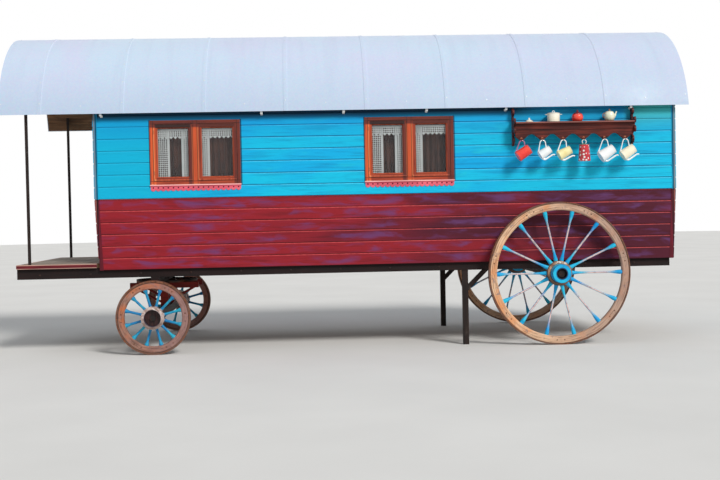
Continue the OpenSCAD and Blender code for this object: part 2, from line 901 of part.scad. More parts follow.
// Side of the rack, drawn in Y and Z: a board with scrolled front edge
module rack_side() {
    front = -outer_y - shelf_d;
    back_d = 1.7 * scroll_r;
    top = shelf_z + rack_top;
    foot = shelf_z - rack_drop;
    difference() {
        union() {
            translate([-outer_y - back_d, foot]) square([back_d, top - foot]);
            translate([front + scroll_r / 2, shelf_z - 3 * scroll_r])
                square([shelf_d - scroll_r / 2, 3.6 * scroll_r]);
            translate([front + scroll_r, shelf_z + 0.25 * scroll_r]) circle(scroll_r);
            translate([front + scroll_r, shelf_z - 2.7 * scroll_r]) circle(scroll_r);
            translate([-outer_y - 1.8 * scroll_r, foot + 1.7 * scroll_r]) circle(1.2 * scroll_r);
            translate([-outer_y - 1.8 * scroll_r, top - 1.45 * scroll_r]) circle(1.05 * scroll_r);
        }
        translate([front + scroll_r, shelf_z - 1.2 * scroll_r]) circle(0.65 * scroll_r);
    }
}

// An arch between two points: a round top with straight flanks
module arch_cut() {
    half = (rack_pitch - point_w) / 2;
    top_r = 0.77 * arch_rise;
    middle = [0, arch_rise - top_r];
    at = touch(middle, top_r, [half, 0], 1);
    flank = middle + polar(top_r, at);
    translate(middle) circle(top_r);
    polygon([[-half - eps, -lap], [half + eps, -lap], [half, 0], flank, [-flank[0], flank[1]], [-half, 0]]);
}

module apron_outline() {
    z0 = shelf_z - apron_h;
    x0 = -rack_len / 2 + rack_t - lap;
    difference() {
        translate([x0, z0]) square([-2 * x0, apron_h - rack_t + lap]);
        for (i = [-1 : rack_points - 1]) translate([hook_x(i) + rack_pitch / 2, z0]) arch_cut();
    }
}

// A hook drawn with X pointing out of the apron: its plate, a bend down and a bend up
module hook() {
    knee = [hook_bend - hook_r, hook_up - hook_bend];
    low = [knee[0] + 2 * hook_bend, hook_bend - hook_low];
    rotate([0, 90, 0]) translate([-hook_up, 0, -lap]) cylinder(r = 4 * hook_r, h = lap + hook_r);
    wire_line([0, hook_up], [knee[0], hook_up], hook_r);
    wire_arc(knee, hook_bend, 0, 90, hook_r);
    wire_line(knee + [hook_bend, 0], [knee[0] + hook_bend, low[1]], hook_r);
    wire_arc(low, hook_bend, 180, 360, hook_r);
    wire_bead([knee[0], hook_up], hook_r);
    wire_bead(knee + [hook_bend, 0], hook_r);
    wire_bead(low - [hook_bend, 0], hook_r);
    translate([low[0] + hook_bend, 0, low[1]]) sphere(r = 1.5 * hook_r, $fn = 24);
}

module wall_rack() {
    x0 = -rack_len / 2 + rack_t - lap;
    color([0.31, 0.20, 0.20])
        translate([rack_x, 0, 0]) {
            for (x = [-rack_len / 2, rack_len / 2 - rack_t]) along_x(x, x + rack_t) rack_side();
            block([x0, -outer_y - shelf_d, shelf_z - rack_t], [-x0, -outer_y, shelf_z]);
            block([x0, -outer_y - apron_t, shelf_z - rail_h], [-x0, -outer_y, shelf_z - rack_t + lap]);
            along_y(apron_y, apron_y + apron_t) apron_outline();
            block([x0, apron_y - bead_t, shelf_z - rail_h], [-x0, apron_y + lap, shelf_z - rail_h + bead_t]);
            for (i = [0 : rack_points - 1])
                translate([hook_x(i), apron_y, shelf_z - apron_h]) rotate(-90) hook();
        }
}

function hook_x(i) = (i - (rack_points - 1) / 2) * rack_pitch - point_shift;

// A round pot drawn about Z, its foot at z = 0, closed just under the mouth
module pot_body(foot_r, mouth_r, h) {
    rotate_extrude($fn = 40)
        polygon([
            [0, 0], [foot_r, 0], [foot_r + pot_wall / 2, pot_wall], [mouth_r, h], [mouth_r - pot_wall, h],
            [mouth_r - pot_wall, h - mouth_d], [0, h - mouth_d]
        ]);
}

// A swan neck in its own plane: out of the jug's side before x0, along it to x1, and bent away at the tip
module swan_neck(x0, x1, r) {
    root_r = 3.4 * spout_r;
    tip_r = 4.2 * spout_r;
    z = -r - 2.3 * spout_r;
    wire_arc([x0, z + root_r], root_r, -180, -90, spout_r);
    wire_line([x0, z], [x1, z], spout_r);
    wire_arc([x1, z - tip_r], tip_r, 35, 90, spout_r);
    for (x = [x0, x1])
        translate([x - spout_r / 2, 0, z]) rotate([0, 90, 0]) cylinder(r = 1.15 * spout_r, h = spout_r, $fn = 24);
}

// An ear of wire: two legs that meet in a bend leaning towards the mouth
module ear(foot, bend, brow) {
    a_foot = 360 + touch(bend, ear_bend, foot, -1);
    a_brow = touch(bend, ear_bend, brow, 1);
    wire_line(foot, bend + polar(ear_bend, a_foot), ear_wire);
    wire_arc(bend, ear_bend, a_brow, a_foot, ear_wire);
    wire_line(brow, bend + polar(ear_bend, a_brow), ear_wire);
    wire_bead(bend + polar(ear_bend, a_foot), ear_wire);
    wire_bead(bend + polar(ear_bend, a_brow), ear_wire);
}

// A jug hung by the bend of its ear, drawn about its middle with the mouth to the right
module hung_jug(share, mouth_share, tilt, spouted, off_share = 1) {
    h = share * jug_h;
    foot_r = share * jug_r;
    mouth_r = mouth_share * foot_r;
    mid_r = (foot_r + mouth_r) / 2;
    bend = [0.3 * h, mid_r + off_share * ear_off];
    top = bend + polar(ear_bend, 90 - tilt);
    translate([0, jug_y, ear_top])
        rotate([0, -tilt, 0])
            translate([-top[0], 0, -top[1]]) {
                translate([-h / 2, 0, 0]) rotate([0, 90, 0]) pot_body(foot_r, mouth_r, h);
                ear([-0.41 * h, foot_r - 2 * ear_wire], bend, [0.31 * h, mouth_r - ear_wire]);
                if (spouted) swan_neck(-0.2 * h, 0.36 * h, mid_r);
            }
}

// A can that hangs upright from the ring on its lid
module hung_can(share) {
    h = share * jug_h;
    mouth_r = 0.76 * share * jug_r;
    ring_r = 1.2 * ear_bend;
    lid_h = 0.5 * mouth_r;
    lid_z = ear_wire - ring_r - lid_h;
    translate([0, jug_y, ear_top - ring_r]) {
        wire_arc([0, 0], ring_r, 0, 360, ear_wire);
        translate([0, 0, lid_z]) cylinder(r1 = 0.9 * mouth_r, r2 = 0.55 * mouth_r, h = lid_h);
        translate([0, 0, lid_z + lap + mouth_d - h]) pot_body(0.95 * share * jug_r, mouth_r, h);
    }
}

module hanging_jugs() {
    color([0.93, 0.92, 0.86])
        translate([rack_x, 0, 0]) {
            translate([hook_x(0), 0, 0]) hung_jug(1.1, 0.9, 33, false, 0.77);
            translate([hook_x(1), 0, 0]) hung_jug(0.94, 0.82, 32, true);
            translate([hook_x(2), 0, 0]) hung_jug(1.03, 0.78, 27, true);
            translate([hook_x(3), 0, 0]) hung_can(1.27);
            translate([hook_x(4), 0, 0]) hung_jug(1.22, 0.76, 33, true);
            translate([hook_x(5), 0, 0]) hung_jug(1.1, 0.86, 34, true);
        }
}

// A turned shape whose outline is given in shares of the largest pot's radius
module turned(shares) {
    rotate_extrude($fn = 40) polygon([for (p = shares) pot_r * p]);
}

module casserole() {
    h = 1.06 * pot_r;
    pot_body(0.95 * pot_r, 0.98 * pot_r, h);
    translate([0, 0, h - mouth_d - lap])
        turned([[0, 0], [0.91, 0], [0.91, 0.19], [1.03, 0.21], [1.01, 0.27], [0.24, 0.48], [0, 0.5]]);
    wire_arc([0, 1.46 * pot_r], 0.17 * pot_r, 0, 360, 0.05 * pot_r);
    for (side = [-1, 1])
        translate([side * 1.03 * pot_r, 0, 0.93 * pot_r])
            rotate_extrude($fn = 32) translate([0.24 * pot_r, 0]) circle(0.06 * pot_r, $fn = 16);
}

module teapot() {
    turned([[0, 0], [0.56, 0], [0.8, 0.42], [0.8, 1], [0.6, 1.4], [0.24, 1.56], [0.15, 1.8], [0, 1.88]]);
    translate([0.52 * pot_r, 0, 0.52 * pot_r])
        rotate([0, 32, 0]) cylinder(r1 = 0.2 * pot_r, r2 = 0.1 * pot_r, h = 1.15 * pot_r);
}

// Pots standing on the shelf
module shelf_pots() {
    half = rack_len / 2;
    color([0.90, 0.88, 0.78])
        translate([rack_x, -outer_y - shelf_d / 2, shelf_z]) {
            translate([-0.73 * half, 0, 0])
                turned([[0, 0], [0.63, 0], [0.6, 0.14], [0.2, 0.44], [0.12, 0.62], [0, 0.68]]);
            translate([-0.33 * half, 0, 0]) casserole();
            translate([0.065 * half, 0, 0])
                turned([
                    [0, 0], [0.66, 0], [0.86, 0.36], [0.86, 0.84], [0.7, 1.14], [0.34, 1.4], [0.16, 1.5],
                    [0.16, 1.7], [0, 1.77]
                ]);
            translate([0.594 * half, 0, 0]) teapot();
        }
}

chassis_sills();
cross_members();
floor();
porch_deck();
front_wall_lower();
front_wall_upper();
back_wall_lower();
back_wall_upper();
end_walls_lower();
end_walls_upper();
lower_corner_boards();
upper_corner_boards();
window_frames();
window_sashes();
window_glass();
window_sills();
door_frame();
door_leaf();
wall_plates();
roof_bows();
roof_boards();
roof_sheets();
porch_posts();
rear_axle();
front_bolster();
kingpin();
turntable_upper();
support_legs();
wall_rack();
hanging_jugs();
shelf_pots();
turntable_lower();
fore_frame();
front_axle();
stand_near(rear_x, rear_r) rear_tyre();  // rear_near_tyre
stand_near(rear_x, rear_r) rear_felloes();  // rear_near_felloes
stand_near(rear_x, rear_r) rear_spoke_set();  // rear_near_spokes
stand_far(rear_x, rear_r) rear_tyre();  // rear_far_tyre
stand_far(rear_x, rear_r) rear_felloes();  // rear_far_felloes
stand_far(rear_x, rear_r) rear_spoke_set();  // rear_far_spokes
stand_near(front_x, front_r) front_tyre();  // front_near_tyre
stand_near(front_x, front_r) front_felloes();  // front_near_felloes
stand_near(front_x, front_r) front_spoke_set();  // front_near_spokes
stand_far(front_x, front_r) front_tyre();  // front_far_tyre
stand_far(front_x, front_r) front_felloes();  // front_far_felloes
stand_far(front_x, front_r) front_spoke_set();  // front_far_spokes
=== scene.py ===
"""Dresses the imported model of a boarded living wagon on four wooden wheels.

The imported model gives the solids. This script lays boards, nails, bolts, cloth
and enamel ware on them, gives every surface its finish, and sets the camera,
the floor and the lamps. Lengths are in metres, in the model's own frame: X
along the body, Y away from the viewer, Z up.
"""

import json
import logging
import math
import random
from dataclasses import dataclass, field
from enum import Enum
from functools import cache
from typing import Iterable, Sequence

import bmesh
import bpy
from mathutils import Euler, Matrix, Vector

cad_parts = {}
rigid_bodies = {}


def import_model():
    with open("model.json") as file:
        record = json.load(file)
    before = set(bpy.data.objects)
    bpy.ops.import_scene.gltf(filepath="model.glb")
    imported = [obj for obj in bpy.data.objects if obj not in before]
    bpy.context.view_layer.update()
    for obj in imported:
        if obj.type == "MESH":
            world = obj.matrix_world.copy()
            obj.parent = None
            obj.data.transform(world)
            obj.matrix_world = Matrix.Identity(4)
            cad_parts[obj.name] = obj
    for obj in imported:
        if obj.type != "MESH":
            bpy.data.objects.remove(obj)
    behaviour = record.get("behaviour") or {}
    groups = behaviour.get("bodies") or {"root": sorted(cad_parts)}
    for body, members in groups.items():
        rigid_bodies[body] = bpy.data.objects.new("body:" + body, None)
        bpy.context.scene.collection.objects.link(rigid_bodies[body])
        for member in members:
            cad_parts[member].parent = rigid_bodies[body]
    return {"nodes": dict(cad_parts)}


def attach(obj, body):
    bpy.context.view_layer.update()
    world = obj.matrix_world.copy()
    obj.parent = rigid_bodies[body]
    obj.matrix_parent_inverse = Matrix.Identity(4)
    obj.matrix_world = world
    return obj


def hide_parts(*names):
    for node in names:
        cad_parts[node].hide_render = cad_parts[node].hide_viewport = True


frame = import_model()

log = logging.getLogger("wagon")
Colour = tuple[int, int, int]
Triple = tuple[float, float, float]
Pair = tuple[float, float]
Outline = Sequence[Pair]
Mesh = bpy.types.Mesh
Material = bpy.types.Material
shifted = Matrix.Translation

# Sizes shared by several sub-assemblies

BODY_X0, BODY_X1, DECK_X0 = -2.94, 3.86, -3.86
MIDDLE_X, HALF_X = (BODY_X0 + BODY_X1) / 2, (BODY_X1 - BODY_X0) / 2
OUTER_Y, INNER_Y, LOWER_Y = 1.18, 1.135, 1.168
WALL_Z, WAIST_Z, WALL_TOP, DECK_Z = 0.97, 1.79, 2.938, 1.05
END_LEAN = 0.036
ARCH_Z, ROOF_R, UNDER_R = 2.48968, 1.31032, 1.28472
WINDOW_XS = (-1.775, 0.71)
WIN_W, WIN_H, WIN_Z = 1.04, 0.74, 1.947
FRAME_W, MULLION_W, PANE_W, SASH_W = 0.038, 0.052, 0.456, 0.04
SIDES = (-1, 1)


class Face(Enum):
    """The four sides of the body, by the turn that brings a wall there."""

    NEAR = 0
    RIGHT = 90
    FAR = 180
    LEFT = -90


class Grain(Enum):
    """Which way the grain of a timber runs, as the stretch of its pattern."""

    ALONG = (2.5, 45.0, 45.0)
    ACROSS = (45.0, 2.5, 45.0)
    UPRIGHT = (45.0, 45.0, 2.5)
    LEVEL = (3.0, 3.0, 60.0)


class Coat(Enum):
    """How an enamel coat is patterned."""

    PLAIN = "plain"
    DOTS = "dots"


# Mesh helpers


def spun(degrees: float, axis: str) -> Matrix:
    """A turn about an axis."""
    return Matrix.Rotation(math.radians(degrees), 4, axis)


def arc(middle: Pair, r: float, start: float, end: float, count: int = 14) -> list[Vector]:
    """Points on an arc in X and Z.

    Args:
        middle: The arc's middle.
        r: Its radius.
        start: Angle of its first point, in degrees.
        end: Angle of its last point.
        count: Number of points.

    Returns:
        The points.
    """
    angles = (math.radians(start + (end - start) * i / (count - 1)) for i in range(count))
    return [Vector((middle[0] + r * math.cos(a), 0, middle[1] + r * math.sin(a))) for a in angles]


def rectangle(x0: float, z0: float, x1: float, z1: float) -> tuple[Pair, ...]:
    """Four corners of a rectangle in X and Z."""
    return ((x0, z0), (x1, z0), (x1, z1), (x0, z1))


def hoop(r0: float, r1: float, a: float, b: float) -> Outline:
    """Outline of a flat hoop with eased outer edges, from height a to b."""
    return [(r0, a), (r1 - 0.001, a), (r1, a + 0.0015), (r1, b - 0.0015), (r1 - 0.001, b), (r0, b)]


class Draft:
    """A mesh in the making, drawn shape by shape."""

    def __init__(self) -> None:
        """Start with nothing."""
        self.bm = bmesh.new()

    def mesh(self, name: str) -> Mesh:
        """Make the mesh.

        Args:
            name: Its name.

        Returns:
            The mesh, its faces pointing outwards.
        """
        bmesh.ops.recalc_face_normals(self.bm, faces=self.bm.faces)
        made = bpy.data.meshes.new(name)
        self.bm.to_mesh(made)
        self.bm.free()
        return made

    def ring(self, points: Iterable[Sequence[float]]) -> list[bmesh.types.BMVert]:
        """Vertices at some points."""
        return [self.bm.verts.new(p) for p in points]

    def band(self, low: Sequence, high: Sequence) -> None:
        """Draw the faces between two rings.

        Args:
            low: Vertices of one ring, or a single one.
            high: Vertices of the other.
        """
        count = max(len(low), len(high))
        for i in range(count):
            j = (i + 1) % count
            corners = [low[i % len(low)], low[j % len(low)], high[j % len(high)], high[i % len(high)]]
            self.bm.faces.new(list(dict.fromkeys(corners)))

    def prism(self, outline: Outline, y0: float, y1: float, place: Matrix = Matrix()) -> "Draft":
        """Draw a closed prism.

        Args:
            outline: Its corners in X and Z, in order.
            y0: One end.
            y1: The other end.
            place: Where the prism goes.

        Returns:
            This draft.
        """
        one, two = (self.ring(place @ Vector((x, y, z)) for x, z in outline) for y in (y0, y1))
        self.bm.faces.new(one)
        self.bm.faces.new(reversed(two))
        self.band(one, two)
        return self

    def box(self, xs: Pair, ys: Pair, zs: Pair, ease: float = 0.002) -> "Draft":
        """Draw a box with eased edges.

        Args:
            xs: Its two ends in X.
            ys: Its two ends in Y, in any order.
            zs: Its two ends in Z.
            ease: Width of the eased edges.

        Returns:
            This draft.
        """
        size = [abs(b - a) for a, b in (xs, ys, zs)]
        middle = [(a + b) / 2 for a, b in (xs, ys, zs)]
        made = bmesh.ops.create_cube(self.bm, size=1.0, matrix=shifted(middle) @ Matrix.Diagonal((*size, 1)))
        edges = {e for v in made["verts"] for e in v.link_edges}
        bmesh.ops.bevel(self.bm, geom=list(edges), offset=ease, segments=2, profile=0.6, affect="EDGES")
        return self

    def turned(self, outline: Outline, place: Matrix = Matrix(), steps: int = 40) -> "Draft":
        """Draw an outline turned about Z. It closes on itself without poles.

        Args:
            outline: Radius and height of each ring; a radius of 0 makes a pole.
            place: Where the turned shape goes.
            steps: Number of steps round.

        Returns:
            This draft.
        """
        circle = [(math.cos(a), math.sin(a)) for a in (2 * math.pi * i / steps for i in range(steps))]
        rings = [self.ring(place @ Vector((r * c, r * s, z)) for c, s in (circle if r > 1e-6 else circle[:1]))
                 for r, z in outline]
        for low, high in zip(rings, rings[1:]):
            self.band(low, high)
        if len(rings[0]) > 1 and len(rings[-1]) > 1:
            self.band(rings[-1], rings[0])
        return self

    def tube(self, path: Sequence[Vector], radii: Sequence[float], flat: float = 1.0, sides: int = 14) -> "Draft":
        """Draw a capped tube.

        Args:
            path: Points of its middle line.
            radii: Radius at each point.
            flat: Thickness across as a share of the width.
            sides: Number of sides.

        Returns:
            This draft.
        """
        side, rings = Vector((0, 1, 0)), []
        angles = [2 * math.pi * k / sides for k in range(sides)]
        for i, (at, r) in enumerate(zip(path, radii)):
            run = (path[min(i + 1, len(path) - 1)] - path[max(i - 1, 0)]).normalized()
            side = (side - side.dot(run) * run).normalized()
            up = flat * run.cross(side)
            rings.append(self.ring(at + r * (math.cos(a) * side + math.sin(a) * up) for a in angles))
        for low, high in zip(rings, rings[1:]):
            self.band(low, high)
        self.bm.faces.new(rings[0])
        self.bm.faces.new(rings[-1])
        return self

    def moulding(self, middle: Pair, size: Pair, profile: Outline, y: float, sign: int) -> None:
        """Draw a mitred moulding round a rectangle on a long wall.

        Args:
            middle: Middle of the rectangle in X and Z.
            size: Its width and height.
            profile: Offsets inwards and outwards from the wall.
            y: The face that it stands on.
            sign: -1 on the near wall and 1 on the far one.
        """
        (x, z), (w, h) = middle, size
        rings = [self.ring((x + sx * (w / 2 - inward), sign * (y + out), z + sz * (h / 2 - inward))
                           for sx, sz in rectangle(-1, -1, 1, 1)) for inward, out in profile]
        for one, two in zip(rings, rings[1:] + rings[:1]):
            self.band(one, two)


# Node trees


class Field:
    """A value that differs from place to place, with its arithmetic."""

    def __init__(self, tree: "Tree", socket: bpy.types.NodeSocket) -> None:
        """Keep the tree and the socket that gives the value."""
        self.tree, self.socket = tree, socket

    def __add__(self, other: "Field | float") -> "Field":
        """This and another."""
        return self.tree.math("ADD", self, other)

    def __sub__(self, other: "Field | float") -> "Field":
        """This less another."""
        return self.tree.math("SUBTRACT", self, other)

    def __rsub__(self, other: float) -> "Field":
        """A number less this."""
        return self.tree.math("SUBTRACT", other, self)

    def __mul__(self, other: "Field | float") -> "Field":
        """This times another."""
        return self.tree.math("MULTIPLY", self, other)

    def __truediv__(self, other: float) -> "Field":
        """This as a share of a number."""
        return self.tree.math("DIVIDE", self, other)

    def __abs__(self) -> "Field":
        """This without its sign."""
        return self.tree.math("ABSOLUTE", self)

    def __lt__(self, other: float) -> "Field":
        """1 where this is less than a number."""
        return self.tree.math("LESS_THAN", self, other)

    def __gt__(self, other: float) -> "Field":
        """1 where this is more than a number."""
        return self.tree.math("GREATER_THAN", self, other)


class Tree:
    """A node tree that is put together node by node."""

    def __init__(self, tree: bpy.types.NodeTree) -> None:
        """Keep the tree."""
        self.tree = tree

    def node(self, kind: str, values: dict[int | str, object] | None = None, out: int | str = 0,
             **settings: object) -> Field:
        """Add a node.

        Args:
            kind: The node's type.
            values: Fields or constants for its inputs, by name or number.
            out: The output that is asked for.
            **settings: The node's own properties.

        Returns:
            That output.
        """
        made = self.tree.nodes.new(kind)
        for key, value in settings.items():
            setattr(made, key, value)
        for key, value in (values or {}).items():
            self.feed(made.inputs[key], value)
        return Field(self, made.outputs[out])

    def feed(self, socket: bpy.types.NodeSocket, value: object) -> None:
        """Link a field to a socket, or set its constant.

        Args:
            socket: An input.
            value: The field or constant.
        """
        if isinstance(value, Field):
            self.tree.links.new(value.socket, socket)
        else:
            socket.default_value = value

    def every(self, one: Field) -> list[Field]:
        """All outputs of the node that a field comes from."""
        return [Field(self, socket) for socket in one.socket.node.outputs]

    def math(self, way: str, *values: Field | float) -> Field:
        """One sum of arithmetic."""
        return self.node("ShaderNodeMath", dict(enumerate(values)), operation=way)

    def most(self, first: Field, *others: Field) -> Field:
        """The largest of some fields.

        Args:
            first: A field.
            *others: The others.

        Returns:
            The largest, place by place.
        """
        for other in others:
            first = self.math("MAXIMUM", first, other)
        return first

    def vector(self, x: Field | float, y: Field | float, z: Field | float) -> Field:
        """A vector from its parts."""
        return self.node("ShaderNodeCombineXYZ", {0: x, 1: y, 2: z})


def linear(colour: Colour) -> tuple[float, float, float, float]:
    """Turn a colour written from 0 to 255 into the one that nodes take."""
    parts = [c / 255 for c in colour]
    return (*(c / 12.92 if c <= 0.04045 else ((c + 0.055) / 1.055) ** 2.4 for c in parts), 1.0)


class Recipe(Tree):
    """A material that is laid coat by coat."""

    def __init__(self, name: str, rough: float = 0.6, metal: float = 0.0, gloss: float = 0.22) -> None:
        """Start a material with one principled shader.

        Args:
            name: Name of the material.
            rough: Its plain roughness.
            metal: 1 for bare metal.
            gloss: Its specular level, 0.5 for fresh lacquer.
        """
        self.material = bpy.data.materials.new(name)
        self.material.use_nodes = True
        super().__init__(self.material.node_tree)
        self.shader = self.tree.nodes["Principled BSDF"]
        self.give({"Roughness": rough, "Metallic": metal, "Specular IOR Level": gloss})
        self.objects = self.node("ShaderNodeTexCoord", out="Object")
        self.skin: Field | None = None

    def give(self, values: dict[str, Field | float]) -> None:
        """Give the shader some of its inputs.

        Args:
            values: Fields or constants, by name.
        """
        for name, value in values.items():
            self.feed(self.shader.inputs[name], value)

    def stretched(self, scale: Triple, about: Triple = (0, 0, 0)) -> Field:
        """Object coordinates about a middle, stretched."""
        shift = [-m * s for m, s in zip(about, scale)]
        return self.node("ShaderNodeMapping", {"Vector": self.objects, "Scale": scale, "Location": shift})

    def noise(self, where: Field | Triple | float, detail: float = 4.0, warp: float = 0.0,
              scale: float = 1.0) -> Field:
        """Soft noise from about 0.3 to 0.7.

        Args:
            where: Its coordinates, the stretch of the object's own, or a plain scale.
            detail: How fine it gets.
            warp: How far it is distorted.
            scale: Its scale, where coordinates are given.

        Returns:
            The noise.
        """
        values = {"Vector": self.objects, "Scale": scale, "Detail": detail, "Distortion": warp}
        if isinstance(where, float):
            values["Scale"] = where
        else:
            values["Vector"] = self.stretched(where) if isinstance(where, tuple) else where
        return self.node("ShaderNodeTexNoise", values, "Fac")

    def ramp(self, share: Field, *ends: tuple[float, Colour | float]) -> Field:
        """Run from one colour or grey to another along a share.

        Args:
            share: The share.
            *ends: Two places from 0 to 1, each with its colour or grey.

        Returns:
            The colour.
        """
        made = self.node("ShaderNodeValToRGB", {0: share})
        for end, (at, colour) in zip(made.socket.node.color_ramp.elements, ends):
            end.position = at
            end.color = linear(colour) if isinstance(colour, tuple) else (colour, colour, colour, 1)
        return made

    def mixed(self, share: Field | float, one: Field | Colour, two: Field | Colour, way: str = "MIX") -> Field:
        """Mix two colours.

        Args:
            share: 0 for the first colour, 1 for the second.
            one: The first colour.
            two: The second colour.
            way: The way they are mixed.

        Returns:
            The mixed colour.
        """
        first, second = (linear(c) if isinstance(c, tuple) else c for c in (one, two))
        return self.node("ShaderNodeMix", {0: share, 6: first, 7: second}, 2, data_type="RGBA", blend_type=way)

    def coat(self, share: Field | float, colour: Field | Colour, way: str = "MIX") -> None:
        """Lay a colour over what is there, as far as a share says."""
        self.skin = self.mixed(share, self.skin, colour, way)

    def between(self, share: Field, low: float, high: float, one: Colour, two: Colour) -> Field:
        """One colour where a share is low, another where it is high."""
        return self.mixed(self.ramp(share, (low, 0.0), (high, 1.0)), one, two)

    def step(self, value: Field, at: float, soft: float) -> Field:
        """0 below a place and 1 above it, with a soft change."""
        values = {"Value": value, "From Min": at - soft, "From Max": at + soft}
        return self.node("ShaderNodeMapRange", values, interpolation_type="SMOOTHSTEP")

    def within(self, value: Field, low: float, high: float, soft: float) -> Field:
        """1 where a value lies between two others, with soft ends."""
        return self.step(value, low, soft) * (1.0 - self.step(value, high, soft))

    def parts(self, where: Field) -> list[Field]:
        """X, Y and Z of a vector."""
        return self.every(self.node("ShaderNodeSeparateXYZ", {0: where}))

    def facing(self, axis: int) -> Field:
        """How far the surface faces along an axis, from 0 to 1."""
        return abs(self.parts(self.node("ShaderNodeNewGeometry", out="Normal"))[axis])

    def about(self, middle: Pair) -> tuple[Field, Field, Field, Field]:
        """X, Y and Z from a wheel's middle, and the distance from its axis."""
        x, y, z = self.parts(self.stretched((1, 1, 1), (middle[0], 0, middle[1])))
        return x, y, z, self.math("SQRT", x * x + z * z)

    def finished(self, share: Field, rough: Pair, *bumps: tuple[Field, float]) -> Material:
        """Give the shader the skin, its roughness and its bumps.

        Args:
            share: What the roughness runs along, from 0.3 to 0.7.
            rough: Its lowest and highest roughness.
            *bumps: Heights as shares, from below up, each with its depth in
                metres at full height.

        Returns:
            The material.
        """
        values = {"Value": share, "From Min": 0.3, "From Max": 0.7, "To Min": rough[0], "To Max": rough[1]}
        self.give({"Base Color": self.skin, "Roughness": self.node("ShaderNodeMapRange", values)})
        normal = {}
        for height, depth in bumps:
            values = {"Height": height, "Distance": depth, "Strength": 1.0, **normal}
            normal = {"Normal": self.node("ShaderNodeBump", values)}
        self.give(normal)
        return self.material


# Finishes


@dataclass(frozen=True)
class Finish:
    """A named finish."""

    name: str

    def make(self) -> Material:
        """Put the material together.

        Returns:
            The material.
        """
        raise NotImplementedError


@cache
def material_of(finish: Finish) -> Material:
    """The material of a finish, made once."""
    return finish.make()


@dataclass(frozen=True)
class BoardPaint(Finish):
    """Old oil paint on level boards, worn to an undercoat in places, with painted highlights and painted shade."""

    main: Colour
    second: Colour
    deep: Colour
    # Colour of the painted highlight along each board's top
    edge: Colour
    worn: Colour
    wear: float
    pitch: float
    start: float
    upper: bool
    turn: float
    tone_and_shade_to_right: float = 0.0

    def make(self) -> Material:
        """Put the material together.

        Returns:
            The material.
        """
        r = Recipe(self.name, 0.5)
        x, y, z = r.parts(r.objects)
        off = abs(y)
        course = (z - self.start) / self.pitch
        tone = r.node("ShaderNodeTexWhiteNoise", {"W": r.math("FLOOR", course)}, noise_dimensions="1D")
        up = r.math("FRACT", course)
        drift = r.noise((0.55, 0.55, 1.6), 2.0, 0.4)
        # For the red boards the share grows to the right, so the paint darkens towards the right end: partly random
        # tone, partly painted shade of the rear wheel
        share = drift + (tone - 0.5) * 0.16 + x * self.tone_and_shade_to_right
        r.skin = r.mixed(r.step(share, self.turn, 0.13), self.main, self.second)
        r.coat(r.ramp(r.noise((1.6, 1.6, 26.0), 4.0, 0.3), (0.35, 0.3), (0.5, 0.0)), self.deep)
        grain = r.noise((5.0, 5.0, 120.0), 6.0, 0.4)
        r.coat(r.ramp(grain, (0.28, 0.4), (0.44, 0.0)), self.deep)
        # Each board is rubbed in its own places, most of all under the waist
        own = {0: r.vector(tone * 40.0, off * 2.0, up * 1.3), 1: r.stretched((2.8, 2.8, 0.0))}
        bare = r.noise(r.node("ShaderNodeVectorMath", own, operation="ADD"), 3.0, 0.5) + (grain - 0.5) * 0.12
        bare = bare + r.within(z, WAIST_Z - 0.14, WAIST_Z, 0.004) * 0.045
        rub = r.step(bare, 0.68 - self.wear, 0.13) * r.within(up, 0.14, 0.84, 0.14)
        r.coat(rub * 0.66, self.worn)
        # A painted highlight along each board's top and painted shade at its foot
        chip = r.noise((26.0, 26.0, 60.0))
        r.coat(r.step(up, 0.925, 0.012) * r.ramp(chip, (0.3, 0.45), (0.6, 1.0)) * 0.62, self.edge)
        r.coat((1.0 - r.step(up, 0.05, 0.025)) * 0.92, self.deep)
        lining_y = INNER_Y + 0.002
        if self.upper:
            self.fade_and_shade(r, x, z, off > lining_y)
        lining = r.between(grain, 0.35, 0.65, (150, 118, 88), (112, 82, 58))
        r.coat((off < lining_y) * (abs(x - MIDDLE_X) < HALF_X - 0.042), lining)
        return r.finished(drift * 0.5 + chip * 0.5, (0.42, 0.66), (grain, 0.0009), (chip - rub, 0.0005))

    def fade_and_shade(self, r: Recipe, x: Field, z: Field, long_side: Field) -> None:
        """Lay painted shade under the eaves and painted shadow beside the windows, turn the top courses azure as
        painted shade, and fade the ends.

        Args:
            r: The material.
            x: Place along the wall.
            z: Height.
            long_side: 1 on the outside of the long walls.
        """
        r.coat((0.7 - r.step(x, -1.7, 0.6) * 0.7) * long_side, (0, 180, 212))
        # Painted shade: the top courses turn deeper azure under the eaves
        r.coat(r.step(z, 2.55, 0.28) * 0.55 * long_side, (0, 128, 208))
        r.coat(r.step(x, 3.3, 0.1) * r.step(z, 2.6, 0.16) * 0.75 * long_side, (74, 200, 184))
        # Painted shade: a dark band under the eaves, weaker at the right end, and painted shadow lines beside the
        # windows
        eave_and_frame_shade = r.step(z, 2.705, 0.05) * (0.92 - r.step(x, 2.1, 0.3) * 0.8)
        for middle in WINDOW_XS:
            beside = r.within(abs(x - (middle + 0.003)), 0.51, 0.534, 0.003)
            eave_and_frame_shade = r.most(eave_and_frame_shade, beside * r.within(z, WIN_Z - 0.01, WIN_Z + WIN_H + 0.008, 0.004) * 0.8)
        r.coat(eave_and_frame_shade * long_side, (8, 30, 50))


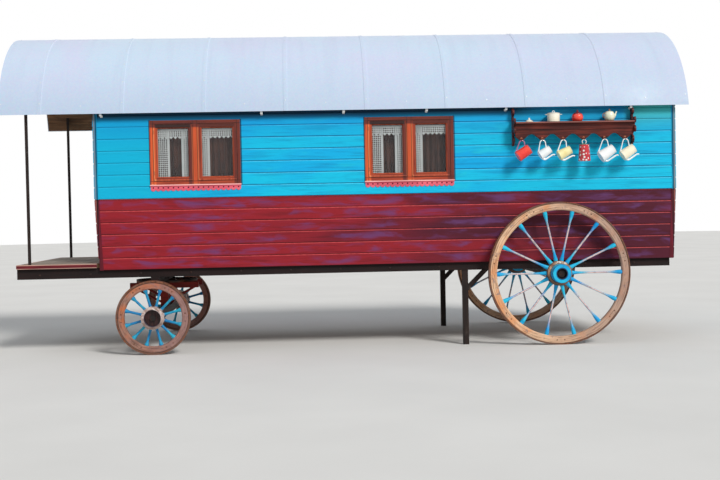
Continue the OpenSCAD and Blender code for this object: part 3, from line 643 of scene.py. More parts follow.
@dataclass(frozen=True)
class Varnish(Finish):
    """Orange-brown varnish, with painted sunlight on the left stiles and mullions and painted shade on the right
    stiles, the head rails and the sash heads.
    """

    rail: float
    light: Colour = (186, 76, 44)
    dark: Colour = (124, 40, 28)
    # Colours of the painted sunlight and the painted shade
    sunlit: Colour = (228, 96, 44)
    shaded: Colour = (84, 34, 30)

    def make(self) -> Material:
        """Put the material together.

        Returns:
            The material.
        """
        r = Recipe(self.name, 0.35, gloss=0.35)
        x, _, z = r.parts(r.objects)
        upright, level = (r.noise(way.value, 6.0, 0.5) for way in (Grain.UPRIGHT, Grain.LEVEL))
        head = WIN_Z + WIN_H
        on_rail = r.within(z, WIN_Z, WIN_Z + self.rail, 0.0005) + r.within(z, head - self.rail, head, 0.0005)
        fine = r.node("ShaderNodeMix", {0: on_rail, 2: upright, 3: level}, data_type="FLOAT")
        first, second = WINDOW_XS
        off = x - ((x < (first + second) / 2) * (first - second) + second)
        wide, top = abs(off), head - FRAME_W
        high = r.step(z, top - SASH_W - 0.004, 0.01)
        # Painted light and shade: the left stile and the mullion lit; the right stile, the head and the mullion's left
        # side shaded
        lit_part = r.most(r.within(off, -0.506, -0.452, 0.006), r.within(off, -0.034, 0.046, 0.008) * 0.6)
        shade_part = r.most(high, r.step(off, 0.445, 0.012), r.within(off, -0.08, -0.034, 0.008))
        r.skin = r.between(fine, 0.3, 0.62, self.dark, self.light)
        r.coat(shade_part * 0.8, self.shaded)
        r.coat(lit_part * (1.0 - high) * 0.75, self.sunlit)
        # Painted shade over the sashes' head rails, darkest in the left sash
        band = r.within(z, top - SASH_W - 0.006, top - 0.006, 0.003) * r.within(wide, 0.05, 0.455, 0.004)
        r.coat(band * (0.88 - r.step(off, 0.0, 0.01) * 0.5), (30, 18, 16))
        # Dark lines at the joints of frame and sash: partly the joints' own colour, partly painted shade in these gaps
        seams = (wide, MULLION_W / 2 + PANE_W), (wide, MULLION_W / 2), (z, WIN_Z + FRAME_W), (z, top)
        joint_shade = r.most(*(r.within(value, at - 0.0035, at + 0.0035, 0.0015) for value, at in seams))
        r.coat(joint_shade * 0.7, (36, 16, 14))
        return r.finished(fine, (0.25, 0.42), (fine, 0.0005))


@dataclass(frozen=True)
class Timber(Finish):
    """Sawn or planed timber, bare, stained or thinly painted."""

    light: Colour
    dark: Colour
    grain: Grain = Grain.ALONG
    patch: Colour = (120, 110, 100)
    patches: float = 0.0
    rough: Pair = (0.6, 0.85)
    depth: float = 0.0012
    edges: Pair | None = None
    worn_corner: bool = False

    def make(self) -> Material:
        """Put the material together.

        Returns:
            The material.
        """
        r = Recipe(self.name)
        x, _, z = r.parts(r.objects)
        fine, wide = r.noise(self.grain.value, 7.0, 0.5), r.noise(2.4, 3.0, 0.8)
        r.skin = r.between(fine, 0.3, 0.68, self.dark, self.light)
        r.coat(r.ramp(wide, (0.35, 0.5), (0.65, 0.0)), tuple(round(0.72 * c) for c in self.dark))
        if self.patches:
            r.coat(r.step(r.noise(9.0, 5.0, 1.0), 0.70 - self.patches, 0.09) * 0.6, self.patch)
        if self.edges:
            worn = 1.0 - r.within(z, *self.edges, 0.002)
            r.coat(worn * r.ramp(fine, (0.3, 0.4), (0.6, 0.95)), self.patch)
        if self.worn_corner:
            past = abs(x - MIDDLE_X)
            joint = r.within(past, HALF_X - 0.036, HALF_X - 0.020, 0.002)
            r.coat(joint * 0.85, tuple(c // 3 for c in self.dark))
            r.coat(r.step(past, HALF_X - 0.018, 0.002) * r.ramp(fine, (0.3, 0.45), (0.6, 0.9)), self.patch)
        return r.finished(fine, self.rough, (fine, self.depth))


@dataclass(frozen=True)
class RimWood(Finish):
    """Bare felloes whose grain follows the wheel, weathered and stained, with painted shade on the wheel's right side
    and along the outer edge.
    """

    light: Colour
    dark: Colour
    stain: Colour
    patch: Colour
    patches: float
    middle: Pair
    outer_r: float

    def make(self) -> Material:
        """Put the material together.

        Returns:
            The material.
        """
        r = Recipe(self.name, 0.7)
        x, y, z, reach = r.about(self.middle)
        bent = r.vector(r.math("ARCTAN2", z, x) * 2.5, y * 60.0, reach * 70.0)
        fine, wide = r.noise(bent, 7.0, 0.6), r.noise(3.2, 4.0, 0.7)
        r.skin = r.between(fine, 0.32, 0.6, self.dark, self.light)
        r.coat(r.ramp(wide, (0.47, 0.0), (0.64, 0.9)), self.stain)
        # Painted shade: the felloes turn grey towards the right side of the wheel
        r.coat(r.step(x, 0.12 * self.outer_r, 0.75 * self.outer_r) * 0.62, self.patch)
        r.coat(r.step(r.noise(14.0, 5.0, 1.2), 0.68 - self.patches, 0.05) * 0.8, self.patch)
        crack = r.ramp(r.noise(bent, 3.0, 0.2, 2.2), (0.36, 1.0), (0.39, 0.0))
        r.coat(crack * 0.55, (92, 62, 44))
        # Painted shade in the gap between the felloes and the tyre
        r.coat(r.step(reach + (wide - 0.5) * 0.012, self.outer_r - 0.0085, 0.003) * 0.85, (58, 40, 34))
        return r.finished(fine, (0.6, 0.85), (fine, 0.0012), (1.0 - crack, 0.001))


@dataclass(frozen=True)
class WheelPaint(Finish):
    """Turquoise paint on a nave and its spokes, rubbed off where hands reach, with painted shade on the nave's ring,
    in the gap inside it and in its hollow.
    """

    rubbed: Pair | None
    ring: Pair
    hollow_r: float
    ring_light: Colour
    ring_dark: Colour
    hollow: Colour
    joint_shade: float
    light: Colour
    deep: Colour
    middle: Pair

    def make(self) -> Material:
        """Put the material together.

        Returns:
            The material.
        """
        r = Recipe(self.name, 0.45, gloss=0.3)
        _, _, z, reach = r.about(self.middle)
        fine, wide = r.noise(26.0, 6.0, 1.0), r.noise(5.0, 3.0, 0.4)
        r.skin = r.between(wide, 0.4, 0.62, self.light, self.deep)
        r.coat(r.ramp(fine, (0.3, 0.45), (0.42, 0.0)), (16, 84, 122))
        if self.rubbed:
            front = r.step(r.facing(1) + (fine - 0.5) * 0.5, 0.66, 0.22)
            worn = r.within(reach + (fine - 0.5) * 0.06, *self.rubbed, 0.085) * front
            r.coat(worn, r.between(fine, 0.34, 0.55, (168, 128, 124), (226, 196, 190)))
        old = r.between(fine, 0.35, 0.6, self.ring_dark, self.ring_light)
        # Painted shade on the ring's lower half; its whitish flecks towards the top are partly worn paint, partly
        # painted highlight
        old = r.mixed((1.0 - r.step(z, -0.03, 0.05)) * 0.7, old, (84, 62, 52))
        old = r.mixed(r.step(fine + z * 1.2, 0.72, 0.05), old, (228, 218, 208))
        r.coat(r.within(reach, *self.ring, 0.002), old)
        inner_r = self.ring[0]
        # Painted shade in the gap inside the ring
        r.coat(r.within(reach, inner_r, inner_r + self.joint_shade, 0.0015) * 0.8, (24, 40, 56))
        r.coat(1.0 - r.step(reach, self.hollow_r + self.joint_shade, 0.004), (10, 84, 140))
        # Painted shade: the nave's hollow is nearly black, with faint streaks
        streaks = r.noise((75.0, 75.0, 5.0), 3.0, 0.2)
        hollow_shade = r.between(streaks, 0.45, 0.66, self.hollow, tuple(2 * c for c in self.hollow))
        r.coat(1.0 - r.step(reach, self.hollow_r, 0.002), hollow_shade)
        return r.finished(fine, (0.38, 0.62), (fine, 0.0008))


@dataclass(frozen=True)
class Iron(Finish):
    """Old iron, from dull black to all rust."""

    clean: Colour
    rust: Colour
    amount: float
    rough: Pair = (0.45, 0.8)

    def make(self) -> Material:
        """Put the material together.

        Returns:
            The material.
        """
        r = Recipe(self.name, 0.6, 0.35)
        wide, fine = r.noise(7.0, 6.0, 0.8), r.noise(60.0, 5.0)
        share = r.step(wide * 0.7 + fine * 0.3, 0.62 - self.amount, 0.08)
        rust = r.between(fine, 0.35, 0.65, tuple(c // 2 for c in self.rust), self.rust)
        r.skin = r.mixed(share, self.clean, rust)
        return r.finished(fine, self.rough, (fine * share, 0.0008))


@dataclass(frozen=True)
class RoofSkin(Finish):
    """Pale sheet metal, dulled, with faint stains that run down the arch and a painted highlight on faces that look
    along the body.
    """

    def make(self) -> Material:
        """Put the material together.

        Returns:
            The material.
        """
        r = Recipe(self.name, 0.45, 0.0, 0.3)
        wide, dust = r.noise((1.3, 1.04, 1.04), 4.0, 0.6), r.noise(22.0, 5.0)
        r.skin = r.between(wide, 0.4, 0.62, (196, 216, 236), (202, 211, 235))
        r.coat(r.ramp(r.noise((9.0, 0.8, 0.8), 5.0, 0.3), (0.5, 0.0), (0.75, 0.3)), (182, 196, 220))
        r.coat(r.ramp(dust, (0.6, 0.0), (0.74, 0.3)), (216, 204, 220))
        r.coat((1.0 - r.step(r.parts(r.objects)[2], 3.12, 0.42)) * 0.85, (182, 199, 222))
        r.coat(0.05, r.node("ShaderNodeTexVoronoi", {"Vector": r.objects, "Scale": 55.0}, "Color"), "OVERLAY")
        # Painted highlight: faces that look along the body, such as the laps' edges, turn nearly white
        r.coat(r.step(r.facing(0), 0.5, 0.2), (250, 252, 255))
        waves = r.noise((2.2, 1.2, 1.2), 2.0)
        return r.finished(wide * 0.6 + dust * 0.4, (0.34, 0.56), (waves, 0.004))


@dataclass(frozen=True)
class Pane(Finish):
    """Thin window glass, a little dusty."""

    def make(self) -> Material:
        """Put the material together.

        Returns:
            The material.
        """
        r = Recipe(self.name, 0.05, gloss=0.5)
        dust = r.noise(6.0, 5.0, 0.5)
        r.skin = r.ramp(dust, (0.3, (18, 24, 28)), (0.7, (52, 58, 62)))
        r.give({"IOR": 2.2, "Alpha": 0.12})
        return r.finished(dust, (0.03, 0.12))


@dataclass(frozen=True)
class Enamel(Finish):
    """Fired enamel, chipped to dark iron here and there."""

    main: Colour
    shade: Colour
    coat: Coat = Coat.PLAIN

    def make(self) -> Material:
        """Put the material together.

        Returns:
            The material.
        """
        r = Recipe(self.name, 0.22, gloss=0.45)
        r.skin = r.between(r.noise(9.0, 3.0, 0.4), 0.38, 0.64, self.main, self.shade)
        if self.coat is Coat.DOTS:
            cells = {"Vector": r.objects, "Scale": 30.0, "Randomness": 0.75}
            away = r.node("ShaderNodeTexVoronoi", cells, "Distance")
            r.skin = r.mixed(r.step(away, 0.36, 0.03), (240, 236, 232), r.skin)
        chip = r.noise(48.0, 5.0, 0.6)
        r.coat(r.step(chip, 0.745, 0.012) * 0.85, (44, 38, 42))
        r.give({"Coat Weight": 0.5})
        return r.finished(chip, (0.16, 0.32), (r.noise(30.0, 2.0), 0.0006))


@dataclass(frozen=True)
class Cloth(Finish):
    """Woven cloth, its threads along the piece's own UV map."""

    light: Colour
    dark: Colour
    threads: float

    def make(self) -> Material:
        """Put the material together.

        Returns:
            The material.
        """
        r = Recipe(self.name, 0.85)
        values = {"Vector": r.node("ShaderNodeUVMap"), "Scale": self.threads / 20, "Distortion": 1.2}
        warp, weft = (r.node("ShaderNodeTexWave", values, "Fac", bands_direction=way) for way in "XY")
        weave, wide = warp * weft, r.noise(8.0, 4.0)
        r.skin = r.between(weave * 0.4 + wide, 0.4, 0.85, self.dark, self.light)
        r.give({"Sheen Weight": 0.3})
        return r.finished(wide, (0.75, 0.95), (weave, 0.0004))


# The boards' paints bear the names of their slots in the record

BLUE = BoardPaint("blue_boards", (8, 194, 232), (0, 171, 231), (4, 96, 150), (92, 216, 244), (30, 198, 216),
                  0.0, 0.138, WAIST_Z, True, 0.55)
RED = BoardPaint("red_boards", (146, 28, 40), (78, 18, 38), (54, 4, 16), (222, 88, 88), (104, 64, 118),
                 0.075, 0.1367, WALL_Z, False, 0.585, 0.085)
CORNER = {"grain": Grain.UPRIGHT, "rough": (0.42, 0.6), "depth": 0.0006, "worn_corner": True}
BLUE_CORNER = Timber("blue_corner_paint", (8, 184, 222), (2, 150, 206), patch=(140, 118, 98), **CORNER)
RED_CORNER = Timber("red_corner_paint", (124, 26, 42), (80, 16, 34), patch=(146, 92, 82), **CORNER)
VARNISH_FRAME = Varnish("frame_varnish", FRAME_W)
VARNISH_SASH = Varnish("sash_varnish", FRAME_W + SASH_W, (176, 72, 42), (112, 36, 26), (218, 92, 44))
VARNISH_BEAD = Varnish("bead_varnish", FRAME_W, (196, 92, 58), (140, 52, 34), (250, 158, 104), (108, 50, 42))
PINK = Timber("sill_paint", (250, 124, 138), (232, 86, 110), patch=(252, 196, 190), rough=(0.4, 0.6),
              depth=0.0005, edges=(0.0, WIN_Z - 0.012))
DARK_TIMBER = Timber("dark_timber", (42, 27, 26), (20, 12, 12))
CROSS_TIMBER = Timber("cross_timber", (42, 27, 26), (20, 12, 12), Grain.ACROSS)
UPRIGHT_TIMBER = Timber("upright_timber", (54, 42, 38), (26, 20, 19), Grain.UPRIGHT, (78, 70, 64), 0.02)
ROOF_TIMBER = Timber("roof_timber", (150, 110, 78), (96, 66, 46))
FASCIA_PAINT = Timber("fascia_paint", (134, 40, 50), (92, 24, 34), Grain.ALONG, (204, 166, 150), -0.04,
                      edges=(1.008, 1.041))
DOOR_PAINT = Timber("door_paint", (28, 164, 206), (12, 110, 164), Grain.UPRIGHT, (120, 206, 222), 0.04,
                    (0.4, 0.6), 0.0006)
BLACK_IRON = Iron("black_iron", (40, 36, 36), (92, 56, 42), 0.03)
WARM_IRON = Iron("warm_iron", (74, 58, 52), (124, 78, 56), 0.12)
BOLT_IRON = Iron("bolt_iron", (96, 72, 60), (134, 84, 58), 0.12)
LACE = Cloth("lace_thread", (228, 234, 234), (204, 212, 212), 1400.0)
WHITE_WARE = Enamel("white_enamel", (250, 252, 252), (230, 240, 244))
RED_WARE = Enamel("red_enamel", (255, 78, 50), (238, 52, 42))
SHELF_WARE = Enamel("shelf_enamel", (255, 252, 240), (250, 244, 222))
PALE_WARE = Enamel("pale_enamel", (246, 242, 216), (226, 236, 208))
BROWN_TRIM = Enamel("brown_trim", (150, 92, 56), (116, 66, 40))


# Pieces


def dress(finish: Finish, *nodes: str) -> None:
    """Give CAD nodes their finish.

    Args:
        finish: The finish.
        *nodes: Names of the nodes.
    """
    for node in nodes:
        materials = frame["nodes"][node].data.materials
        materials.clear()
        materials.append(material_of(finish))
        log.info("dressed %s with %s", node, finish.name)


def link(thing: bpy.types.Object) -> None:
    """Bring an object into the scene."""
    bpy.context.scene.collection.objects.link(thing)


def add_piece(name: str, shape: Draft | Mesh, finish: Finish | None = None, body: str = "wagon",
              replaces: Sequence[str] = (), smooth: bool = False) -> bpy.types.Object:
    """Put a finished mesh on the wagon.

    Args:
        name: Name of the piece.
        shape: Its mesh or draft, already in place.
        finish: Its finish, unless the mesh has its materials.
        body: The body that it rides on.
        replaces: CAD nodes that it stands for.
        smooth: True to shade it smooth.

    Returns:
        The piece.
    """
    mesh = shape.mesh(name) if isinstance(shape, Draft) else shape
    piece = bpy.data.objects.new(name, mesh)
    link(piece)
    if finish is not None:
        mesh.materials.append(material_of(finish))
    if smooth:
        mesh.shade_smooth()
        mesh.set_sharp_from_angle(angle=math.radians(40))
    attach(piece, body)
    if replaces:
        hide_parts(*replaces)
    mesh.calc_loop_triangles()
    log.info("%s: %d triangles on %s", name, len(mesh.loop_triangles), body)
    return piece


# Geometry Nodes


class Grower(Tree):
    """A Geometry Nodes tree with named inputs, run on a carrier mesh."""

    def __init__(self, name: str) -> None:
        """Start a tree with one geometry coming in and one going out.

        Args:
            name: Name of the tree.
        """
        super().__init__(bpy.data.node_groups.new(name, "GeometryNodeTree"))
        for way in ("INPUT", "OUTPUT"):
            self.tree.interface.new_socket("Geometry", in_out=way, socket_type="NodeSocketGeometry")
        self.ins = self.tree.nodes.new("NodeGroupInput")
        self.outs = self.tree.nodes.new("NodeGroupOutput")

    def ask(self, **kinds: str) -> list[Field]:
        """Add named inputs.

        Args:
            **kinds: Each input's kind of socket, by name.

        Returns:
            The inputs, in order.
        """
        for label, kind in kinds.items():
            self.tree.interface.new_socket(label, in_out="INPUT", socket_type="NodeSocket" + kind)
        return [Field(self, self.ins.outputs[label]) for label in kinds]

    def shape_of(self, thing: Field) -> Field:
        """The geometry of an object that is handed in."""
        return self.node("GeometryNodeObjectInfo", {"Object": thing}, "Geometry")

    def close(self, geometry: Field, paint: Field) -> None:
        """Realize what came out and give it its material."""
        real = self.node("GeometryNodeRealizeInstances", {0: geometry})
        self.feed(self.outs.inputs[0], self.node("GeometryNodeSetMaterial", {"Geometry": real, "Material": paint}))

    def grow(self, name: str, carrier: Mesh, values: dict[str, object]) -> Mesh:
        """Run the tree.

        Args:
            name: Name of the mesh that is made.
            carrier: The mesh that goes in.
            values: The inputs, by name; a mesh is handed in as an object.

        Returns:
            A plain mesh.
        """
        values = {label: bpy.data.objects.new(f"{name}_{label}", value) if isinstance(value, Mesh) else value
                  for label, value in values.items()}
        body = bpy.data.objects.new(name + "_carrier", carrier)
        helpers = [body, *(v for v in values.values() if isinstance(v, bpy.types.Object))]
        for thing in helpers:
            link(thing)
        grown = body.modifiers.new("grow", "NODES")
        grown.node_group = self.tree
        for item in self.tree.interface.items_tree:
            if item.in_out == "INPUT" and item.name in values:
                grown[item.identifier] = values[item.name]
        graph = bpy.context.evaluated_depsgraph_get()
        mesh = bpy.data.meshes.new_from_object(body.evaluated_get(graph), preserve_all_data_layers=True,
                                               depsgraph=graph)
        mesh.name = name
        for thing in helpers:
            bpy.data.objects.remove(thing)
        return mesh


def course_grower() -> Grower:
    """Make the tree that lays boards in courses up a wall.

    Returns:
        The tree, which also cuts openings in the boards.
    """
    g = Grower("board_courses")
    count, pitch, length, wander, seed, board, cutter, paint = g.ask(
        Courses="Int", Pitch="Float", Length="Float", Wander="Float", Seed="Int", Board="Object", Cutter="Object",
        Paint="Material")
    line = g.node("GeometryNodeMeshLine", {"Count": count, "Offset": g.vector(0.0, 0.0, pitch)}, mode="OFFSET")
    reach = {0: g.vector(0.0, 0.0 - wander, 0.0), 1: g.vector(0.0, wander, 0.0), "Seed": seed}
    stray = g.node("FunctionNodeRandomValue", reach, data_type="FLOAT_VECTOR")
    moved = g.node("GeometryNodeSetPosition", {"Geometry": line, "Offset": stray})
    laid = g.node("GeometryNodeInstanceOnPoints", {
        "Points": moved, "Instance": g.shape_of(board), "Scale": g.vector(length, 1.0, 1.0)})
    whole = g.node("GeometryNodeRealizeInstances", {0: laid})
    g.close(g.node("GeometryNodeMeshBoolean", {0: whole, 1: g.shape_of(cutter)}, operation="DIFFERENCE"), paint)
    return g


def stamp_grower() -> Grower:
    """Make the tree that sets one small shape on every point.

    Returns:
        The tree, which turns each shape as its point says.
    """
    g = Grower("heads_on_points")
    head, size, vary, seed, paint = g.ask(Head="Object", Size="Float", Vary="Float", Seed="Int", Paint="Material")
    turn = g.node("GeometryNodeInputNamedAttribute", {"Name": "turn"}, data_type="FLOAT_VECTOR")
    share = g.node("FunctionNodeRandomValue", {2: 1.0 - vary, 3: vary + 1.0, "Seed": seed}, 1, data_type="FLOAT")
    g.close(g.node("GeometryNodeInstanceOnPoints", {
        "Points": Field(g, g.ins.outputs[0]), "Instance": g.shape_of(head),
        "Rotation": g.node("FunctionNodeEulerToRotation", {0: turn}), "Scale": size * share}), paint)
    return g


COURSES = course_grower()
STAMP = stamp_grower()


@dataclass(frozen=True)
class Spot:
    """A place for a small shape, the way it faces, and its spin or the way its Y runs."""

    at: Triple
    facing: Triple
    spin: float = 0.0
    along: Triple | None = None

    def turn(self) -> Euler:
        """Find how the shape is turned.

        Returns:
            The rotation that brings +Z to the way it faces.
        """
        face = Vector(self.facing)
        if self.along:
            side = Vector(self.along)
            return Matrix((side.cross(face), side, face)).transposed().to_euler()
        return (face.to_track_quat("Z", "Y").to_matrix() @ Matrix.Rotation(self.spin, 3, "Z")).to_euler()


def add_stamped(name: str, head: Draft, spots: Sequence[Spot], size: float, finish: Finish,
                vary: float = 0.1, body: str = "wagon") -> None:
    """Put a piece on the wagon that is one small shape on many places.

    Args:
        name: Name of the piece.
        head: The small shape, facing +Z.
        spots: Where it goes.
        size: Its scale.
        finish: Its finish.
        vary: How far the sizes differ, as a share.
        body: The body that it rides on.
    """
    points = bpy.data.meshes.new(name + "_points")
    points.from_pydata([s.at for s in spots], [], [])
    turns = points.attributes.new("turn", "FLOAT_VECTOR", "POINT")
    turns.data.foreach_set("vector", [c for s in spots for c in s.turn()])
    values = {"Head": head.mesh(name + "_head"), "Size": size, "Vary": vary, "Seed": 3, "Paint": material_of(finish)}
    add_piece(name, STAMP.grow(name, points, values), body=body)


def domed_head(rise: float = 0.45, steps: int = 8) -> Draft:
    """A domed nail head, one unit in radius."""
    outline = [(0, -0.15), (1.0, -0.15), (1.0, 0.1 * rise), (0.72, 0.7 * rise), (0.3, rise), (0, 1.02 * rise)]
    return Draft().turned(outline, steps=steps)


def bolt_head() -> Draft:
    """Draw a square nut on a round washer, with the bolt's end showing.

    Returns:
        The bolt head, facing +Z.
    """
    draft = Draft().turned([(0, -0.2), (1.25, -0.2), (1.25, 0.12), (1.1, 0.2), (0, 0.2)], steps=14)
    draft.box((-0.75, 0.75), (-0.75, 0.75), (0.15, 0.8), 0.1)
    return draft.turned([(0, 0.7), (0.4, 0.7), (0.4, 1.0), (0.3, 1.1), (0, 1.1)], steps=10)


# Sub-assemblies


@dataclass
class BoardedWall:
    """Level boards on one wall, each with a square foot and a chamfered top."""

    name: str
    face: Face
    corner: Pair
    length: float
    courses: int
    paint: BoardPaint
    cuts: Sequence[Outline] = ()
    seed: int = 5
    lean: float = 0.0
    proud: float = 0.008
    gap: float = 0.0045
    chamfer: float = 0.011

    def board(self) -> Draft:
        """Draw one board.

        Returns:
            The board, a unit long.
        """
        top, out, foot = self.paint.pitch - 0.002, -self.proud, self.gap - 0.001
        profile = [(0.002, foot), (0.6 * out, foot), (out + 0.001, self.gap), (out, self.gap + 0.0015),
                   (out, top - self.chamfer), (0.12 * out, top), (0.002, top)]
        return Draft().prism(profile, -1.0, 0.0, spun(90, "Z"))

    def build(self) -> None:
        """Lay the boards and put them on the wagon."""
        cutter = Draft()
        for outline in self.cuts:
            cutter.prism(outline, -0.06, 0.04)
        mesh = COURSES.grow(self.name, bpy.data.meshes.new(self.name + "_start"), {
            "Courses": self.courses, "Pitch": self.paint.pitch, "Length": self.length, "Wander": 0.0006,
            "Seed": self.seed, "Board": self.board().mesh(self.name + "_board"),
            "Cutter": cutter.mesh(self.name + "_cutter"), "Paint": material_of(self.paint)})
        high = WAIST_Z - WALL_Z
        for v in mesh.vertices if self.lean else ():
            v.co.y += self.lean * (high - v.co.z) / high
        mesh.transform(shifted((*self.corner, self.paint.start)) @ spun(self.face.value, "Z"))
        add_piece(self.name, mesh)


@dataclass
class Walls:
    """The boards on all four sides, their nails, and the corner boards."""

    stud_pitch: float = 0.61
    nail_r: float = 0.0035
    past: float = 0.006
    door_half: float = 0.38
    door_h: float = 1.86
    margin: float = 0.1

    def windows(self, far: bool) -> list[Outline]:
        """Openings of a long wall.

        Args:
            far: True for the far wall.

        Returns:
            The windows' outlines, from the wall's own left end.
        """
        xs = [BODY_X1 - x if far else x - BODY_X0 for x in WINDOW_XS]
        z0 = WIN_Z - WAIST_Z
        return [rectangle(x - WIN_W / 2, z0, x + WIN_W / 2, z0 + WIN_H) for x in xs]

    def wedges(self) -> list[Outline]:
        """What the leaning ends cut off the lower boards of a long wall.

        Returns:
            Two outlines, from the wall's own left end.
        """
        high, off = WAIST_Z - WALL_Z, self.margin
        left = [(-off, -off), (END_LEAN * (1 + off / high), -off), (-END_LEAN * 2 * off / high, high + 2 * off),
                (-off, high + 2 * off)]
        return [left, [(2 * HALF_X - x, z) for x, z in reversed(left)]]

    def arch(self, half: float) -> Outline:
        """All that lies outside the arch of a gable.

        Args:
            half: Half the gable's width.

        Returns:
            One outline, in the wall's own frame.
        """
        r, base, steps = UNDER_R - 0.0005, ARCH_Z - WAIST_Z, 48
        start = math.acos(min(1.0, half / r))
        angles = [start + (math.pi - 2 * start) * i / steps for i in range(steps + 1)]
        arch = [(half + r * math.cos(a), base + r * math.sin(a)) for a in angles]
        high, low, side = base + r + 0.4, arch[0][1], half + 0.3
        return [*arch, (half - side, low), (half - side, high), (half + side, high), (half + side, low)]

    def build(self) -> None:
        """Build every boarded wall."""
        length, high = 2 * HALF_X, WALL_TOP - WAIST_Z
        off = self.margin
        top = rectangle(-off, high, length + off, high + 0.3)
        for face, x, sign in ((Face.NEAR, BODY_X0, -1), (Face.FAR, BODY_X1, 1)):
            side, far = face.name.lower(), face is Face.FAR
            BoardedWall(side + "_blue_boards", face, (x, sign * OUTER_Y), length, 9, BLUE,
                        [*self.windows(far), top], 5 + far).build()
            BoardedWall(side + "_red_boards", face, (x, sign * LOWER_Y), length, 6, RED, self.wedges(),
                        7 + far).build()
        half, low_half = OUTER_Y + self.past, LOWER_Y + self.past
        doorway = [rectangle(half - self.door_half, -off, half + self.door_half, DECK_Z + self.door_h - WAIST_Z)]
        below = [rectangle(low_half - self.door_half, -off, low_half + self.door_half, 0.9),
                 rectangle(-off, -off, 2 * low_half + off, DECK_Z - WALL_Z)]
        for face, x, sign, cuts, low_cuts in ((Face.RIGHT, BODY_X1, -1, [], []),
                                              (Face.LEFT, BODY_X0, 1, doorway, below)):
            side = face.name.lower()
            BoardedWall(side + "_gable_boards", face, (x, sign * half), 2 * half, 15, BLUE,
                        [self.arch(half), *cuts], 11).build()
            BoardedWall(side + "_red_boards", face, (x, sign * low_half), 2 * low_half, 6, RED, low_cuts, 13,
                        END_LEAN).build()
        dress(BLUE, "front_wall_upper", "back_wall_upper", "end_walls_upper")
        dress(RED, "front_wall_lower", "back_wall_lower", "end_walls_lower")
        dress(BLUE_CORNER, "upper_corner_boards")
        dress(RED_CORNER, "lower_corner_boards")
        self.nails()

    def nails(self) -> None:
        """Painted nail heads, two to a board at every stud."""
        for name, courses, out, paint in (("blue_nails", 8, OUTER_Y, BLUE), ("red_nails", 6, LOWER_Y, RED)):
            spots = []
            for x in (BODY_X0 + 0.30 + i * self.stud_pitch for i in range(11)):
                by_window = paint.upper and any(abs(x - w) < WIN_W / 2 + 0.03 for w in WINDOW_XS)
                for z in (paint.start + i * paint.pitch + up for i in range(courses) for up in (0.03, 0.095)):
                    if not (by_window and WIN_Z - 0.07 < z < WIN_Z + WIN_H + 0.02):
                        spots += [Spot((x, s * (out + 0.0078), z), (0, s, 0)) for s in SIDES]
            add_stamped(name, domed_head(0.3, 6), spots, self.nail_r, paint)


def cloth_mesh(verts: Sequence[Triple], faces: Sequence[Sequence[int]], flat: Sequence[Pair]) -> Mesh:
    """Make a mesh of thin cloth.

    Args:
        verts: Its corners as they hang.
        faces: Corners of each face, by number.
        flat: Where each corner lies in the flat cloth.

    Returns:
        The mesh, with the flat places as its UV map.
    """
    made = bpy.data.meshes.new("cloth")
    made.from_pydata(verts, [], faces)
    layer = made.uv_layers.new(name="UVMap")
    for loop in made.loops:
        layer.data[loop.index].uv = flat[loop.vertex_index]
    return made


@dataclass
class Net:
    """Net with diamond holes, hung in soft folds, some with a zigzag hem."""

    x: float
    y: float
    top: float
    width: float
    drop: float
    flat_h: float
    fold: float
    phase: float
    hole: float
    cell: float
    hem: bool
    wave: float = 0.075
    area: float = 0.0
    index: dict[tuple[int, int], int] = field(default_factory=dict)
    flat: list[Pair] = field(default_factory=list)
    verts: list[Triple] = field(default_factory=list)

    def corner(self, u: float, v: float) -> int:
        """Find or add the corner at a place in the flat cloth.

        Args:
            u: How far along it is.
            v: How far down it is.

        Returns:
            The corner's number.
        """
        key = (round(u * 1e5), round(v * 1e5))
        if key not in self.index:
            self.index[key] = len(self.verts)
            swing = self.fold * math.sin(self.phase + 2 * math.pi * u / self.wave) * (0.5 + 0.5 * v / self.drop)
            self.verts.append((self.x - self.width / 2 + u, self.y + swing, self.top - v))
            self.flat.append((u, v))
        return self.index[key]

    def mesh(self) -> Mesh:
        """Knot the net, and add up its area.

        Returns:
            The mesh.
        """
        cols, rows = (max(3, round(size / self.cell)) for size in (self.width, self.drop))
        w, h = self.width / cols, self.drop / rows
        faces = []
        for i in range(cols):
            for j in range(rows):
                u, v = i * w, j * h
                c = [self.corner(*p) for p in ((u, v), (u + w, v), (u + w, v + h), (u, v + h))]
                if j == 0 or (not self.hem and i in (0, cols - 1)):
                    faces.append(c)
                    self.area += w * h
                    continue
                hole = 0.46 if not self.hem and v < 0.1 else self.hole
                ways = ((0, -hole), (hole, 0), (0, hole), (-hole, 0))
                d = [self.corner(u + w / 2 + a * w, v + h / 2 + b * h) for a, b in ways]
                for k, n in ((0, 1), (1, 2), (2, 3), (3, 0)):
                    faces += [(c[k], c[n], d[k]), (c[n], d[n], d[k])]
                self.area += w * h * (1 - 2 * hole * hole)
            if self.hem and i % 2 == 0 and i + 1 < cols:
                ends = [self.corner((i + k) * w, self.drop) for k in range(3)]
                tip = self.corner((i + 1) * w, self.drop + 1.2 * h)
                faces += [(ends[0], ends[1], tip), (ends[1], ends[2], tip)]
                self.area += 1.2 * w * h
        return cloth_mesh(self.verts, faces, self.flat)


